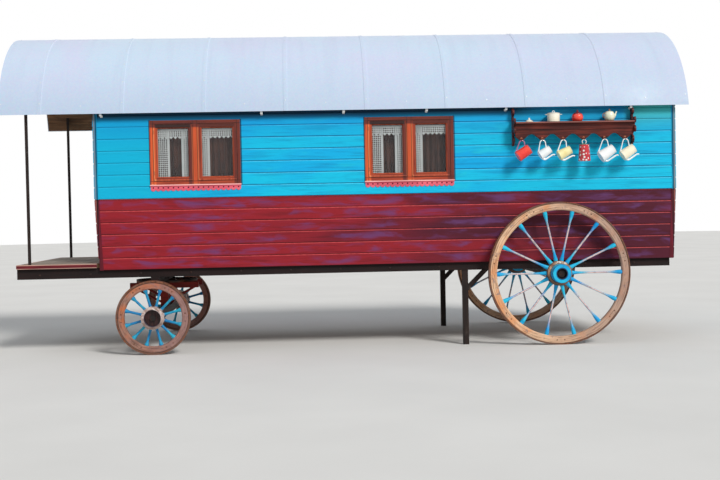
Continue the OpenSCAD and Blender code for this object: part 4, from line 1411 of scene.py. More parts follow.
@dataclass
class Windows:
    """Frames, sashes, beads, hinges, sills and curtains of the four windows."""

    frame_out: float = 0.018
    bead: float = 0.012
    dot_r: float = 0.009
    scallops: int = 18
    valance_cell: float = 0.0255
    lace_cell: float = 0.0225
    lace_y: float = -0.008
    drape_y: float = 0.055

    def sashes(self) -> Iterable[tuple[float, float, int]]:
        """Middle of every sash on one wall, its window's, and its side of the mullion."""
        return ((x + side * (MULLION_W + PANE_W) / 2, x, side) for x in WINDOW_XS for side in SIDES)

    def build(self) -> None:
        """Dress the CAD nodes and add what is on them."""
        dress(VARNISH_FRAME, "window_frames")
        dress(VARNISH_SASH, "window_sashes")
        dress(Pane("pane"), "window_glass")
        dress(PINK, "window_sills")
        self.joinery()
        step = WIN_W / self.scallops
        spots = [Spot((x - WIN_W / 2 + (i + 0.5) * step, s * (OUTER_Y + 0.014), WIN_Z - 0.036), (0, s, 0))
                 for s in SIDES for x in WINDOW_XS for i in range(self.scallops)]
        add_stamped("sill_dots", domed_head(0.12, 12), spots, self.dot_r,
                    Timber("dot_paint", (120, 30, 52), (70, 18, 36)), 0.08)
        self.rods()
        for sign, wall in ((-1, "near"), (1, "far")):
            self.lace(sign, wall)
            self.drapes(sign, wall)

    def joinery(self) -> None:
        """Beads round glass, sashes and frames, bars at their feet, and hinges."""
        out, middle = OUTER_Y + self.frame_out / 2, WIN_Z + WIN_H / 2
        bead = [(0.0, 0.0), (0.0, 0.014), (0.003, 0.0145), (self.bead, 0.004), (self.bead, 0.0)]
        rim = [(0.0, -0.002), (0.0, 0.001), (0.002, 0.003), (0.008, 0.003), (0.010, 0.0), (0.010, -0.002)]
        pin = [(0, -0.028), (0.004, -0.027), (0.005, -0.024), (0.005, 0.024), (0.004, 0.027), (0, 0.028)]
        clear_h, foot = WIN_H - 2 * FRAME_W, WIN_Z + FRAME_W + 0.006
        beads, bars, hinges = Draft(), Draft(), Draft()
        for sign in SIDES:
            for x, _, side in self.sashes():
                glass = PANE_W - 2 * SASH_W, clear_h - 2 * SASH_W
                beads.moulding((x, middle), glass, bead, out - 0.019, sign)
                beads.moulding((x, middle), (PANE_W - 0.004, clear_h - 0.004), rim, out, sign)
                bars.box((x - PANE_W / 2 + 0.012, x + PANE_W / 2 - 0.012), (sign * out, sign * (out + 0.015)),
                         (foot, foot + 0.018), 0.004)
                at = x + side * PANE_W / 2
                for z in (WIN_Z + 0.18 * WIN_H, WIN_Z + 0.82 * WIN_H):
                    hinges.turned(pin, shifted((at, sign * (out + 0.0035), z)), 12)
                    hinges.box((at - 0.013, at + 0.013), (sign * (out - 0.0005), sign * (out + 0.0025)),
                               (z - 0.022, z + 0.022), 0.0008)
            for x in WINDOW_XS:
                beads.moulding((x, middle), (WIN_W, WIN_H), rim, OUTER_Y + self.frame_out, sign)
        add_piece("window_beads", beads, VARNISH_BEAD)
        add_piece("weather_bars", bars, VARNISH_BEAD)
        add_piece("window_hinges", hinges, WARM_IRON, smooth=True)

    def rods(self) -> None:
        """Thin rods inside, one for the lace and one for the drape of each window."""
        head, rods = WIN_Z + WIN_H, Draft()
        for sign in SIDES:
            for x in WINDOW_XS:
                for off, z, half in ((self.lace_y + 0.005, head - 0.100, 0.47), (self.drape_y, head + 0.016, 0.57)):
                    y = sign * (INNER_Y - off)
                    rods.tube([Vector((x - half + 2 * half * i / 8, y, z)) for i in range(9)], [0.004] * 9, sides=10)
                    for end in (x - half + 0.01, x + half - 0.01):
                        rods.box((end - 0.006, end + 0.006), (sign * (INNER_Y + 0.001), y), (z - 0.003, z + 0.003),
                                 0.001)
        add_piece("curtain_rods", rods, WARM_IRON, smooth=True)

    def lace(self, sign: int, wall: str) -> None:
        """Hang a valance and lace panels at every sash of one wall.

        Args:
            sign: -1 on the near wall and 1 on the far one.
            wall: The wall's name.
        """
        top, inner_w = WIN_Z + WIN_H - FRAME_W - SASH_W - 0.022, PANE_W - 2 * SASH_W + 0.03
        y = sign * (INNER_Y - self.lace_y)
        for x, window_x, side in self.sashes():
            tag = f"{wall}_{'left' if window_x < 0 else 'right'}_window_{'left' if side < 0 else 'right'}"
            nets = {"valance": Net(x, y + sign * 0.001, top + 0.004, inner_w, 0.09, 0.112, 0.0022, side, 0.42,
                                   self.valance_cell, True)}
            for n, (edge, wide) in enumerate([(-side, 0.1125), (side, 0.1575)][:2 if side < 0 else 1]):
                nets[f"panel_{n}"] = Net(x + edge * (inner_w - wide) / 2, y - sign * 0.011, top + 0.003, wide, 0.565,
                                         0.565, 0.004, 1.7 * n, 0.35 + 0.1 * n, self.lace_cell, False)
            for part, net in nets.items():
                piece = add_piece(f"{tag}_{part}", net.mesh(), LACE)

    def drapes(self, sign: int, wall: str) -> None:
        """Hang a drawn drape in soft folds behind the lace of each window.

        Args:
            sign: -1 on the near wall and 1 on the far one.
            wall: The wall's name.
        """
        width, drop, cols, rows = 1.1, 0.76, 260, 14
        top, y0 = WIN_Z + WIN_H + 0.012, sign * (INNER_Y - self.drape_y)
        cloth = Cloth("brown_cloth", (98, 62, 50), (46, 28, 25), 500.0)
        places = [(i / cols, j / rows) for j in range(rows + 1) for i in range(cols + 1)]
        corners = [j * (cols + 1) + i for j in range(rows) for i in range(cols)]
        faces = [(a, a + 1, a + cols + 2, a + cols + 1) for a in corners]
        for x in WINDOW_XS:
            rng = random.Random(f"drape {x} {sign}")
            one, two, three = (rng.uniform(-0.5, 0.5) for _ in range(3))
            verts = []
            for u, v in places:
                bend = 0.8 * math.sin(5 * u + one) + 0.3 * v * math.sin(9 * u + two)
                y = y0 + (0.010 + 0.008 * v) * math.sin(34 * math.pi * u + bend) + 0.004 * math.sin(11 * u + three)
                verts.append((x - width / 2 + u * width, y, top - drop * v))
            halfway = verts[(rows // 2) * (cols + 1):][:cols + 1]
            flat_w = sum(math.dist(a, b) for a, b in zip(halfway, halfway[1:]))
            mesh = cloth_mesh(verts, faces, [(flat_w * u, drop * v) for u, v in places])
            tag = f"{wall}_{'left' if x < 0 else 'right'}_drape"
            piece = add_piece(tag, mesh, cloth, smooth=True)


@dataclass
class Door:
    """The boarded door on the porch, with its hinges, latch and handle."""

    half: float = 0.33
    low: float = 1.1003
    high: float = 2.8597
    face: float = BODY_X0 + 0.010
    boards: int = 6

    def build(self) -> None:
        """Dress the frame and the leaf and add the boards and fittings."""
        frame_varnish = Timber("door_frame_varnish", (206, 100, 56), (142, 50, 30), Grain.UPRIGHT,
                               rough=(0.25, 0.4), depth=0.0005)
        dress(frame_varnish, "door_frame")
        dress(DOOR_PAINT, "door_leaf")
        step, boards = 2 * self.half / self.boards, Draft()
        for y in (-self.half + i * step for i in range(self.boards)):
            boards.box((self.face - 0.006, self.face + 0.002), (y + 0.002, y + step - 0.002),
                       (self.low + 0.002, self.high - 0.002), 0.003)
        add_piece("door_boards", boards, DOOR_PAINT)
        add_piece("door_fittings", self.iron(), BLACK_IRON)
        studs = ((-0.28, 0.008), (-0.18, -0.006), (-0.08, 0.006), (0.03, -0.004), (0.12, 0.0))
        spots = [Spot((self.face - 0.0098, y, z + up), (-1, 0, 0)) for z in self.hinge_zs() for y, up in studs]
        add_stamped("door_studs", domed_head(), spots, 0.007, BLACK_IRON)

    def hinge_zs(self) -> Pair:
        """Heights of the two hinges."""
        return self.low + 0.22, self.high - 0.22

    def iron(self) -> Draft:
        """Draw strap hinges, the latch's plate and ring, and its staple.

        Returns:
            The ironwork.
        """
        x, draft = self.face - 0.006, Draft()
        edge = [(-0.325, -0.02), (-0.05, -0.014), (0.10, -0.012), (0.13, -0.024)]
        strap = [*edge, (0.16, 0.0), *((y, -z) for y, z in reversed(edge))]
        for z in self.hinge_zs():
            draft.prism(strap, -0.001, 0.004, shifted((x, 0, z)) @ spun(90, "Z"))
            draft.turned([(0, -0.03), (0.007, -0.03), (0.007, 0.03), (0, 0.03)],
                         shifted((x - 0.003, -self.half, z)), 12)
        draft.box((x - 0.003, x + 0.001), (0.235, 0.285), (1.98, 2.16), 0.001)
        swing = shifted((x - 0.012, 0.26, 2.03)) @ spun(90, "Z")
        draft.tube([swing @ p for p in arc((0.0, 0.0), 0.032, 0, 360, 25)], [0.0045] * 25, sides=10)
        return draft.box((x - 0.016, x + 0.001), (0.252, 0.268), (2.055, 2.075), 0.002)


@dataclass
class Roof:
    """Finish of the sheets, their screws, the eave clips and the boards below."""

    sheet_pitch: float = 0.936
    right_lap: float = 3.0
    lap_w: float = 0.042
    lap_t: float = 0.005
    screw_r: float = 0.0085
    clip_xs: tuple[float, ...] = (-2.84, -1.0, -0.05, 0.915, 1.845, 3.32)
    strip_step: float = 5.2
    strip_half: float = 3.986
    edge_x: float = 3.97
    rows: tuple[float, ...] = (-73.5, -44.0, -15.0, 15.0, 44.0, 73.5)

    def build(self) -> None:
        """Dress the roof and add its screws, clips and joint strips."""
        dress(RoofSkin("roof_skin"), "roof_sheets")
        dress(ROOF_TIMBER, "roof_boards", "wall_plates")
        dress(Timber("bow_timber", (146, 106, 74), (92, 62, 44), Grain.ACROSS), "roof_bows")
        self.screws()
        self.clips()
        self.strips()

    def spot(self, x: float, degrees: float, r: float) -> Spot:
        """A place on the arch, facing outwards."""
        a = math.radians(degrees)
        return Spot((x, r * math.sin(a), ARCH_Z + r * math.cos(a)), (0.0, math.sin(a), math.cos(a)))

    def screws(self) -> None:
        """Screws with washers along every lap and in rows between them."""
        laps = [self.right_lap - i * self.sheet_pitch for i in range(8)]
        spots = [self.spot(x + self.lap_w / 2, a, ROOF_R + self.lap_t) for x in laps for a in range(-72, 73, 12)]
        spots += [self.spot(x + self.sheet_pitch / 2 + 0.02, row, ROOF_R) for row in self.rows for x in laps]
        spots += [self.spot(s * self.edge_x, a, ROOF_R) for s in SIDES for a in range(-72, 73, 16)]
        washer = [(0, -0.2), (1.0, -0.2), (1.0, 0.02), (0.85, 0.14), (0.5, 0.2), (0, 0.22)]
        head = Draft().turned(washer, steps=12)
        head.turned([(0, 0.1), (0.42, 0.1), (0.42, 0.5), (0.3, 0.6), (0, 0.62)], steps=6)
        zinc = Iron("galvanised", (206, 214, 222), (168, 150, 140), -0.05, (0.3, 0.5))
        add_stamped("roof_screws", head, spots, self.screw_r, zinc)

    def clips(self) -> None:
        """Small pale clips that hold the sheets' edge at the eaves."""
        clips = Draft()
        bars = (((1.256, 1.194), (2.752, 2.756)), ((1.260, 1.255), (2.742, 2.786)), ((1.194, 1.188), (2.732, 2.756)))
        for sign in SIDES:
            for x in self.clip_xs:
                for (out, in_), zs in bars:
                    clips.box((x - 0.014, x + 0.014), (sign * out, sign * in_), zs, 0.0012)
        add_piece("eave_clips", clips, Enamel("clip_paint", (236, 236, 232), (206, 210, 212)))

    def strips(self) -> None:
        """Thin strips over the joints of the roof boards, seen from below."""
        spots = []
        right = [(0.006, 0.006), (0.011, 0.003), (0.011, 0.0), (0.011, -0.001)]
        outline = right + [(-x, z) for x, z in reversed(right)]
        for i in range(-14, 15):
            out = self.spot(0.0, self.strip_step * i, UNDER_R + 0.0002)
            spots.append(Spot(out.at, tuple(-c for c in out.facing), along=(1, 0, 0)))
        strip = Draft().prism(outline, -self.strip_half, self.strip_half)
        add_stamped("roof_joint_strips", strip, spots, 1.0, ROOF_TIMBER, 0.0)


@dataclass
class Porch:
    """The deck's planks, the strip along its edges, and the posts."""

    plank_w: float = 0.112
    gap: float = 0.004
    plank_t: float = 0.034
    strip: float = 0.0235
    low: float = 1.0
    bearer_xs: Triple = (DECK_X0 + 0.06, DECK_X0 + 0.48, BODY_X0 - 0.08)
    nail_pitch: float = 0.1156

    def build(self) -> None:
        """Dress the posts and lay the deck."""
        dress(UPRIGHT_TIMBER, "porch_posts")
        dress(Timber("floor_timber", (150, 114, 80), (104, 74, 50)), "floor")
        rng, inner, end = random.Random(21), OUTER_Y - 0.024, BODY_X0 - 0.0005
        count = round((2 * inner) / (self.plank_w + self.gap))
        step, planks = 2 * inner / count, Draft()
        for y in (-inner + i * step for i in range(count)):
            drop = rng.uniform(0.0, 0.0012)
            planks.box((DECK_X0 + 0.024 + rng.uniform(0.0, 0.002), end), (y + self.gap / 2, y + step - self.gap / 2),
                       (DECK_Z - self.plank_t, DECK_Z - drop), 0.003)
        for x in self.bearer_xs:
            planks.box((x - 0.03, x + 0.03), (-inner, inner), (self.low, DECK_Z - self.plank_t + 0.001))
        deck = Timber("deck_timber", (178, 166, 152), (120, 104, 90), Grain.ALONG, (96, 88, 82), 0.02)
        add_piece("porch_planks", planks, deck, replaces=["porch_deck"])
        edges, zs = Draft(), (self.low, DECK_Z)
        for sign in SIDES:
            edges.box((DECK_X0, end), (sign * OUTER_Y, sign * (OUTER_Y - self.strip)), zs, 0.004)
        across = OUTER_Y - self.strip - 0.0003
        edges.box((DECK_X0, DECK_X0 + self.strip), (-across, across), zs, 0.004)
        add_piece("porch_edges", edges, FASCIA_PAINT)
        spots = [Spot((x, 0.058 - inner + self.nail_pitch * i + s, DECK_Z - 0.001), (0, 0, 1))
                 for i in range(20) for x in self.bearer_xs for s in (-0.03, 0.03)]
        add_stamped("deck_nails", domed_head(0.25, 6), spots, 0.004, BOLT_IRON)


@dataclass
class Wheel:
    """One wheel: its finishes, the hoops on its nave, and the rim's bolts."""

    name: str
    middle: Triple
    tyre_t: float
    arcs: int
    rim_h: float = 0.096
    half_rim: float = 0.032

    def build(self) -> None:
        """Dress the wheel's three nodes and add the ironwork."""
        x, y, r = self.middle
        flat, rim = (x, r), r - self.tyre_t
        body, rear = self.name + "_wheel", x > 0
        place = shifted(self.middle) @ spun(-math.copysign(90, y), "X")
        hoops, band = Draft(), WARM_IRON
        if rear:
            wood = RimWood("rear_rim_wood", (238, 200, 164), (178, 134, 106), (226, 150, 96), (150, 128, 124), 0.04,
                           flat, rim)
            paint = WheelPaint("rear_wheel_paint", (0.31, 0.60), (0.108, 0.146), 0.063, (184, 146, 116), (124, 92, 74),
                               (14, 20, 30), 0.008, (34, 194, 230), (10, 154, 222), flat)
            for a, b in ((0.004, 0.024), (-0.084, -0.060)):
                hoops.turned(hoop(0.1405, 0.1455, a, b), place, 64)
        else:
            wood = RimWood("front_rim_wood", (170, 130, 114), (102, 74, 66), (190, 108, 66), (154, 120, 118), 0.06,
                           flat, rim)
            paint = WheelPaint("front_wheel_paint", None, (0.094, 0.1315), 0.0965, (208, 190, 184), (146, 120, 112),
                               (34, 18, 18), 0.0, (40, 168, 196), (26, 122, 180), flat)
            hoops.turned(hoop(0.1265, 0.1305, 0.046, 0.1005), place, 64)
            band = Iron("worn_band", (206, 186, 178), (164, 128, 112), 0.04, (0.4, 0.6))
        dress(Iron("tyre_iron", (118, 90, 78), (146, 94, 70), 0.12, (0.4, 0.7)), self.name + "_tyre")
        dress(wood, self.name + "_felloes")
        dress(paint, self.name + "_spokes")
        add_piece(self.name + "_nave_hoops", hoops, band, body, smooth=True)
        if rear:
            neck = Timber("hoop_paint", (40, 176, 212), (20, 130, 180), Grain.LEVEL, rough=(0.35, 0.5), depth=0.0004)
            add_piece(self.name + "_neck_hoop", Draft().turned(hoop(0.1030, 0.1085, 0.122, 0.1495), place, 64),
                      neck, body, smooth=True)
        self.bolts(body)

    def bolts(self, body: str) -> None:
        """Put bolts through the rim on each side of every joint.

        Args:
            body: The wheel's body.
        """
        (x, y, z), spots = self.middle, []
        r = z - self.tyre_t - 0.5 * (self.rim_h - self.tyre_t)
        for i in range(self.arcs):
            for off in (-0.045, 0.045):
                a = math.radians(90 + (i + 0.5) * 360 / self.arcs) + off / r
                spots += [Spot((x + r * math.cos(a), y + s * self.half_rim, z + r * math.sin(a)), (0, s, 0), 0.3 * i)
                          for s in SIDES]
        add_stamped(self.name + "_rim_bolts", domed_head(0.5, 10), spots, 0.0075, BOLT_IRON, body=body)


@dataclass
class RunningGear:
    """Sills, axles, the turntable and the legs, with the bolts that hold them."""

    sill_z: float = 0.88
    rear_x: float = 2.42
    front_x: float = -2.28
    bed_y: float = 1.095
    strap_z: float = 0.770
    strap_x: float = 0.0515
    ring_r: float = 0.35
    ring_z: float = 0.7645
    bolt_x0: float = -3.6
    bolt_pitch: float = 0.58

    def build(self) -> None:
        """Dress the undercarriage and add its straps, bolts and rivets."""
        dress(DARK_TIMBER, "chassis_sills")
        dress(CROSS_TIMBER, "cross_members", "front_bolster")
        dress(UPRIGHT_TIMBER, "support_legs")
        dress(BLACK_IRON, "rear_axle", "front_axle", "kingpin", "turntable_upper")
        dress(WARM_IRON, "turntable_lower")
        dress(Timber("red_timber", (150, 48, 40), (86, 26, 26), Grain.ALONG, (110, 74, 62), 0.02), "fore_frame")
        straps, z, ends = Draft(), self.strap_z, [self.rear_x + s * self.strap_x for s in SIDES]
        for ys in ((s * self.bed_y - 0.02, s * self.bed_y + 0.02) for s in SIDES):
            for x in ends:
                straps.box((x - 0.004, x + 0.004), ys, (z + 0.002, self.sill_z - 0.001), 0.001)
            straps.box((ends[0] - 0.004, ends[1] + 0.004), ys, (z, z + 0.0085), 0.001)
        add_piece("axle_straps", straps, BLACK_IRON)
        spots = [Spot((self.bolt_x0 + i * self.bolt_pitch, s * INNER_Y, self.sill_z + 0.045), (0, s, 0), 0.2 * i)
                 for i in range(13) for s in SIDES]
        sill_iron = Iron("sill_iron", (50, 40, 38), (78, 54, 46), 0.05)
        add_stamped("sill_bolts", bolt_head(), spots, 0.011, sill_iron)
        r, turns = self.ring_r, [math.radians(middle + off) for middle in (54, 126, 234, 306) for off in (-6, 6)]
        ring = [Spot((self.front_x + r * math.cos(a), r * math.sin(a), self.ring_z), (0, 0, -1)) for a in turns]
        add_stamped("turntable_rivets", domed_head(0.5, 10), ring, 0.010, BOLT_IRON, body="fore_carriage")


@dataclass
class Rack:
    """The shelf rack on the near wall and the plates of its hooks."""

    x: float = 2.632
    shelf_z: float = 2.592
    apron_y: float = -1.328
    pitch: float = 0.243
    shift: float = 0.020
    points: int = 6
    hook_drop: float = 0.190
    half: float = 0.6945
    nosing_ys: Pair = (-1.3725, -1.3695)

    def hook_x(self, i: int) -> float:
        """Where a hook hangs."""
        return self.x + (i - (self.points - 1) / 2) * self.pitch - self.shift

    def build(self) -> None:
        """Dress the rack and add the hook plates and the shelf's nosing."""
        dress(Timber("rack_wood", (124, 50, 38), (38, 17, 19), patch=(112, 60, 60), rough=(0.35, 0.55), depth=0.0008),
              "wall_rack")
        plate = [(0, -0.4), (1.0, -0.4), (1.0, 0.0), (0.82, 0.2), (0.7, 0.18), (0.55, 0.34), (0, 0.42)]
        spots = [Spot((self.hook_x(i), self.apron_y - 0.0035, self.shelf_z - self.hook_drop), (0, -1, 0))
                 for i in range(self.points)]
        add_stamped("hook_plates", Draft().turned(plate, steps=20), spots, 0.0135,
                    Iron("hook_brass", (172, 108, 84), (128, 76, 60), 0.05, (0.35, 0.5)), 0.0)
        # The nosing's pale colour is partly worn paint and partly a painted highlight along the shelf's front edge
        nosing = Draft().box((self.x - self.half, self.x + self.half), self.nosing_ys,
                             (self.shelf_z - 0.017, self.shelf_z - 0.002), 0.0012)
        add_piece("shelf_nosing", nosing,
                  Timber("nosing_wood", (182, 118, 108), (118, 70, 66), rough=(0.35, 0.5), depth=0.0004))


@dataclass
class Ware:
    """Everything of enamel: what hangs on the hooks and stands on the shelf."""

    rack: Rack
    jug_h: float = 0.150
    jug_r: float = 0.058
    ear_bend: float = 0.020
    ear_wire: float = 0.005
    ear_loop: float = 0.031
    ear_thick: float = 0.0064
    ear_off: float = 0.065
    spout_r: float = 0.009
    ear_top: float = 2.3743
    jug_y: float = -1.355
    pot_r: float = 0.076
    shelf_half: float = 0.715
    made: list[tuple[Mesh, Enamel]] = field(default_factory=list)

    def build(self) -> None:
        """Build the jugs, the can and the pots."""
        trim = Enamel("mauve_trim", (176, 112, 150), (146, 84, 128))
        yellow = Enamel("yellow_enamel", (248, 238, 178), (236, 216, 140))
        cream = Enamel("cream_enamel", (255, 250, 228), (250, 240, 206))
        self.jug(0, 1.1, 0.9, 33, False, RED_WARE, trim, trim, 0.77)
        self.jug(1, 0.94, 0.82, 32, True, WHITE_WARE, WHITE_WARE)
        self.jug(2, 1.03, 0.78, 27, True, yellow, yellow)
        self.can()
        self.jug(4, 1.22, 0.76, 33, True, WHITE_WARE, WHITE_WARE)
        self.jug(5, 1.1, 0.86, 34, True, cream, cream)
        self.join("hanging_ware", "hanging_jugs")
        self.pots()
        self.join("shelf_ware", "shelf_pots")

    def turn(self, outline: Outline, place: Matrix, enamel: Enamel, steps: int = 48) -> None:
        """Make one turned shape."""
        self.made.append((Draft().turned(outline, place, steps).mesh("turned"), enamel))

    def pipe(self, place: Matrix, path: Sequence[Vector], radii: Sequence[float], enamel: Enamel, flat: float = 1.0,
             sides: int = 12) -> None:
        """Make one tube, from points in a frame of its own."""
        self.made.append((Draft().tube([place @ p for p in path], radii, flat, sides).mesh("tube"), enamel))

    def join(self, name: str, node: str) -> None:
        """Join the meshes made so far into one piece that keeps each one's enamel.

        Args:
            name: Name of the piece.
            node: The CAD node that the piece stands for.
        """
        whole, bm = bpy.data.meshes.new(name), bmesh.new()
        finishes = list(dict.fromkeys(f for _, f in self.made))
        for mesh, finish in self.made:
            first = len(bm.faces)
            bm.from_mesh(mesh)
            bm.faces.ensure_lookup_table()
            for face in bm.faces[first:]:
                face.material_index = finishes.index(finish)
        bm.to_mesh(whole)
        bm.free()
        for finish in finishes:
            whole.materials.append(material_of(finish))
        add_piece(name, whole, replaces=[node], smooth=True)
        self.made = []

    def vessel(self, foot_r: float, mouth_r: float, h: float) -> Outline:
        """Outline of a hollow vessel with a foot ring and a rolled rim.

        Args:
            foot_r: Radius at the foot.
            mouth_r: Radius at the mouth.
            h: Height.

        Returns:
            Radius and height of each ring, from the middle of the base round
            to the middle of the inside.
        """
        def side(share: float, wall: float = 0.0) -> Pair:
            """A point of the side, as far in as the wall is thick."""
            bulge = 0.0015 * math.sin(math.pi * share)
            return foot_r + (mouth_r - foot_r) * share + bulge - wall, h * share

        foot = [(0, 0.0025), (0.84 * foot_r, 0.0025), (0.87 * foot_r, 0.0), (foot_r - 0.002, 0.0),
                (foot_r + 0.0006, 0.0022), (foot_r + 0.0008, 0.0045)]
        rim = [(mouth_r + r, h + z) for r, z in (
            (0.0022, -0.0060), (0.0036, -0.0030), (0.0026, -0.0002), (0.0, 0.0006), (-0.0016, -0.0012))]
        return [*foot, *(side(s) for s in (0.06, 0.2, 0.4, 0.6, 0.8, 0.93)), *rim,
                *(side(s, 0.0022) for s in (0.9, 0.6, 0.3, 0.08)), (0.9 * foot_r, 0.005), (0, 0.0045)]

    def touch(self, middle: Pair, point: Pair, side: int) -> float:
        """Angle at which a line from a point touches the ear's loop, in degrees."""
        run = (point[0] - middle[0], point[1] - middle[1])
        return math.degrees(math.atan2(run[1], run[0]) + side * math.acos(self.ear_loop / math.hypot(*run)))

    def jug(self, hook: int, share: float, mouth_share: float, tilt: float, spouted: bool, body: Enamel,
            trim: Enamel, ear: Enamel = WHITE_WARE, off_share: float = 1.0) -> None:
        """Hang a jug by its ear, the mouth to the right.

        Args:
            hook: Which hook it hangs on.
            share: Size beside a middling jug.
            mouth_share: Mouth beside the foot.
            tilt: How far it tips, in degrees.
            spouted: True for a swan-necked spout.
            body: Finish of the body.
            trim: Finish of the rim.
            ear: Finish of the ear and the spout.
            off_share: How far the ear stands off beside the others.
        """
        h, foot_r = share * self.jug_h, share * self.jug_r
        mouth_r = mouth_share * foot_r
        mid_r = (foot_r + mouth_r) / 2
        bend = (0.3 * h, mid_r + off_share * self.ear_off)
        a = math.radians(90 - tilt)
        up = math.cos(a), math.sin(a)
        top = [b + self.ear_bend * u for b, u in zip(bend, up)]
        hang = (shifted((self.rack.hook_x(hook), self.jug_y, self.ear_top)) @ spun(-tilt, "Y")
                @ shifted((-top[0], 0, -top[1])))
        lay = hang @ shifted((-h / 2, 0, 0)) @ spun(90, "Y")
        self.turn(self.vessel(foot_r, mouth_r, h), lay, body)
        self.turn([(mouth_r + r, h + z) for r, z in (
            (0.0024, -0.006), (0.0042, -0.0028), (0.003, 0.0006), (-0.0002, 0.0014), (-0.0022, -0.001),
            (-0.001, -0.005))], lay, trim)
        foot, brow = (-0.41 * h, foot_r - 0.004), (0.31 * h, mouth_r - 0.002)
        lower = self.ear_loop - self.ear_bend + self.ear_wire - self.ear_thick
        bend = tuple(b - lower * u for b, u in zip(bend, up))
        loop = arc(bend, self.ear_loop, self.touch(bend, brow, 1), 360 + self.touch(bend, foot, -1), 20)
        start, end = (Vector((p[0], 0, p[1])) for p in (brow, foot))
        line = [start.lerp(loop[0], s) for s in (0.0, 0.12, 0.5)] + loop
        line += [loop[-1].lerp(end, s) for s in (0.4, 0.8, 1.0)]
        radii = [0.0095, 0.0075] + [self.ear_thick] * (len(line) - 4) + [0.0075, 0.0095]
        self.pipe(hang, line, radii, ear)
        if spouted:
            root_r, tip_r, z = 3.4 * self.spout_r, 4.2 * self.spout_r, -mid_r - 2.3 * self.spout_r
            line = arc((-0.2 * h, z + root_r), root_r, -182, -92, 12)
            line += [Vector((s * h, 0, z)) for s in (-0.1, 0.08, 0.25)] + arc((0.36 * h, z - tip_r), tip_r, 90, 35, 10)
            last = len(line) - 1
            radii = [0.0135 - 0.0062 * (i / last) ** 0.8 for i in range(last - 1)]
            self.pipe(hang, line, [*radii, 0.0078, 0.0092], ear, sides=18)

    def can(self) -> None:
        """The dotted can, upright, hung by the ring on its lid."""
        share = 1.27
        h, foot_r, mouth_r = share * self.jug_h, 0.95 * share * self.jug_r, 0.76 * share * self.jug_r
        ring_r, lid_h = 1.2 * self.ear_bend, 0.5 * mouth_r
        lid_z = self.ear_wire - ring_r - lid_h
        place = shifted((self.rack.hook_x(3), self.jug_y, self.ear_top - ring_r))
        dotted = Enamel("dotted_enamel", (206, 36, 48), (180, 26, 42), Coat.DOTS)
        self.turn(self.vessel(foot_r, mouth_r, h), place @ shifted((0, 0, lid_z + 0.015 - h)), dotted)
        lid = [(0, -0.002), (0.9, -0.002), (1.06, 0.012), (1.06, 0.016), (0.86, 0.019), (0.7, 0.7 * lid_h),
               (0.4, lid_h), (0, lid_h + 0.002)]
        self.turn([(r * mouth_r, lid_z + z) for r, z in lid], place,
                  Enamel("green_trim", (62, 142, 118), (40, 116, 98)), 40)
        self.pipe(place, arc((0.0, 0.0), ring_r, 0, 360, 33), [self.ear_wire] * 33, WHITE_WARE)

    def pots(self) -> None:
        """A lid, a casserole, a red pot and a teapot, from left to right."""
        p = self.pot_r
        lid_at, cass, red, tea = (shifted((self.rack.x + share * self.shelf_half, -OUTER_Y - 0.095, self.rack.shelf_z))
                                  for share in (-0.73, -0.33, 0.065, 0.594))
        self.turn(self.vessel(0.94 * p, 0.97 * p, 1.26 * p), cass, SHELF_WARE)
        for place, enamel, outline in (
            (lid_at, SHELF_WARE, ((0, 0.02), (0.6, 0.0), (0.63, 0.03), (0.62, 0.12), (0.46, 0.25), (0.24, 0.38),
                                  (0.11, 0.43), (0.1, 0.5), (0.16, 0.55), (0.15, 0.62), (0.08, 0.67), (0, 0.68))),
            (cass, SHELF_WARE, ((0, 1.24), (0.91, 1.24), (0.92, 1.26), (1.02, 1.27), (1.03, 1.31), (0.95, 1.34),
                                (0.7, 1.4), (0.35, 1.45), (0, 1.47))),
            (red, RED_WARE, ((0, 0.01), (0.56, 0.0), (0.64, 0.04), (0.8, 0.22), (0.86, 0.5), (0.86, 0.8), (0.78, 1.02),
                             (0.7, 1.12), (0, 1.12))),
            (red, Enamel("dark_red_trim", (150, 28, 36), (104, 18, 30)), (
                (0, 1.1), (0.7, 1.1), (0.73, 1.13), (0.72, 1.16), (0.5, 1.3), (0.3, 1.42), (0.14, 1.48), (0.12, 1.54),
                (0.17, 1.6), (0.17, 1.68), (0.1, 1.76), (0, 1.77))),
            (tea, PALE_WARE, ((0, 0.01), (0.48, 0.0), (0.56, 0.03), (0.7, 0.2), (0.8, 0.5), (0.8, 0.92), (0.72, 1.18),
                              (0.6, 1.36), (0.63, 1.39), (0.5, 1.46), (0.25, 1.54), (0, 1.57))),
            (tea, BROWN_TRIM, ((0, 1.52), (0.11, 1.55), (0.09, 1.62), (0.15, 1.7), (0.14, 1.79), (0.05, 1.87),
                               (0, 1.88))),
        ):
            self.turn([(p * r, p * h) for r, h in outline], place, enamel)
        self.pipe(cass, arc((0.0, 1.53 * p), 0.17 * p, -30, 210, 21), [0.05 * p] * 21, WHITE_WARE)
        angles = [math.radians(d) for d in range(-90, 91, 12)]
        for side in SIDES:
            ear = [p * Vector((side * (0.96 + 0.32 * math.cos(a)), 0.27 * math.sin(a), 1.12)) for a in angles]
            self.pipe(cass, ear, [0.06 * p] * len(ear), SHELF_WARE, 0.8)
        bends = ((0.5, 0.48, 0.25), (0.74, 0.66, 0.2), (0.9, 0.92, 0.15), (0.99, 1.2, 0.11), (1.1, 1.47, 0.1))
        spout = [Vector((x * p, 0, z * p)) for x, z, _ in bends]
        self.pipe(tea, spout, [r * p for _, _, r in bends], PALE_WARE, sides=18)
        self.pipe(tea, arc((-0.66 * p, 0.86 * p), 0.38 * p, 66, 294, 19), [0.055 * p] * 19, BROWN_TRIM, 1.3)


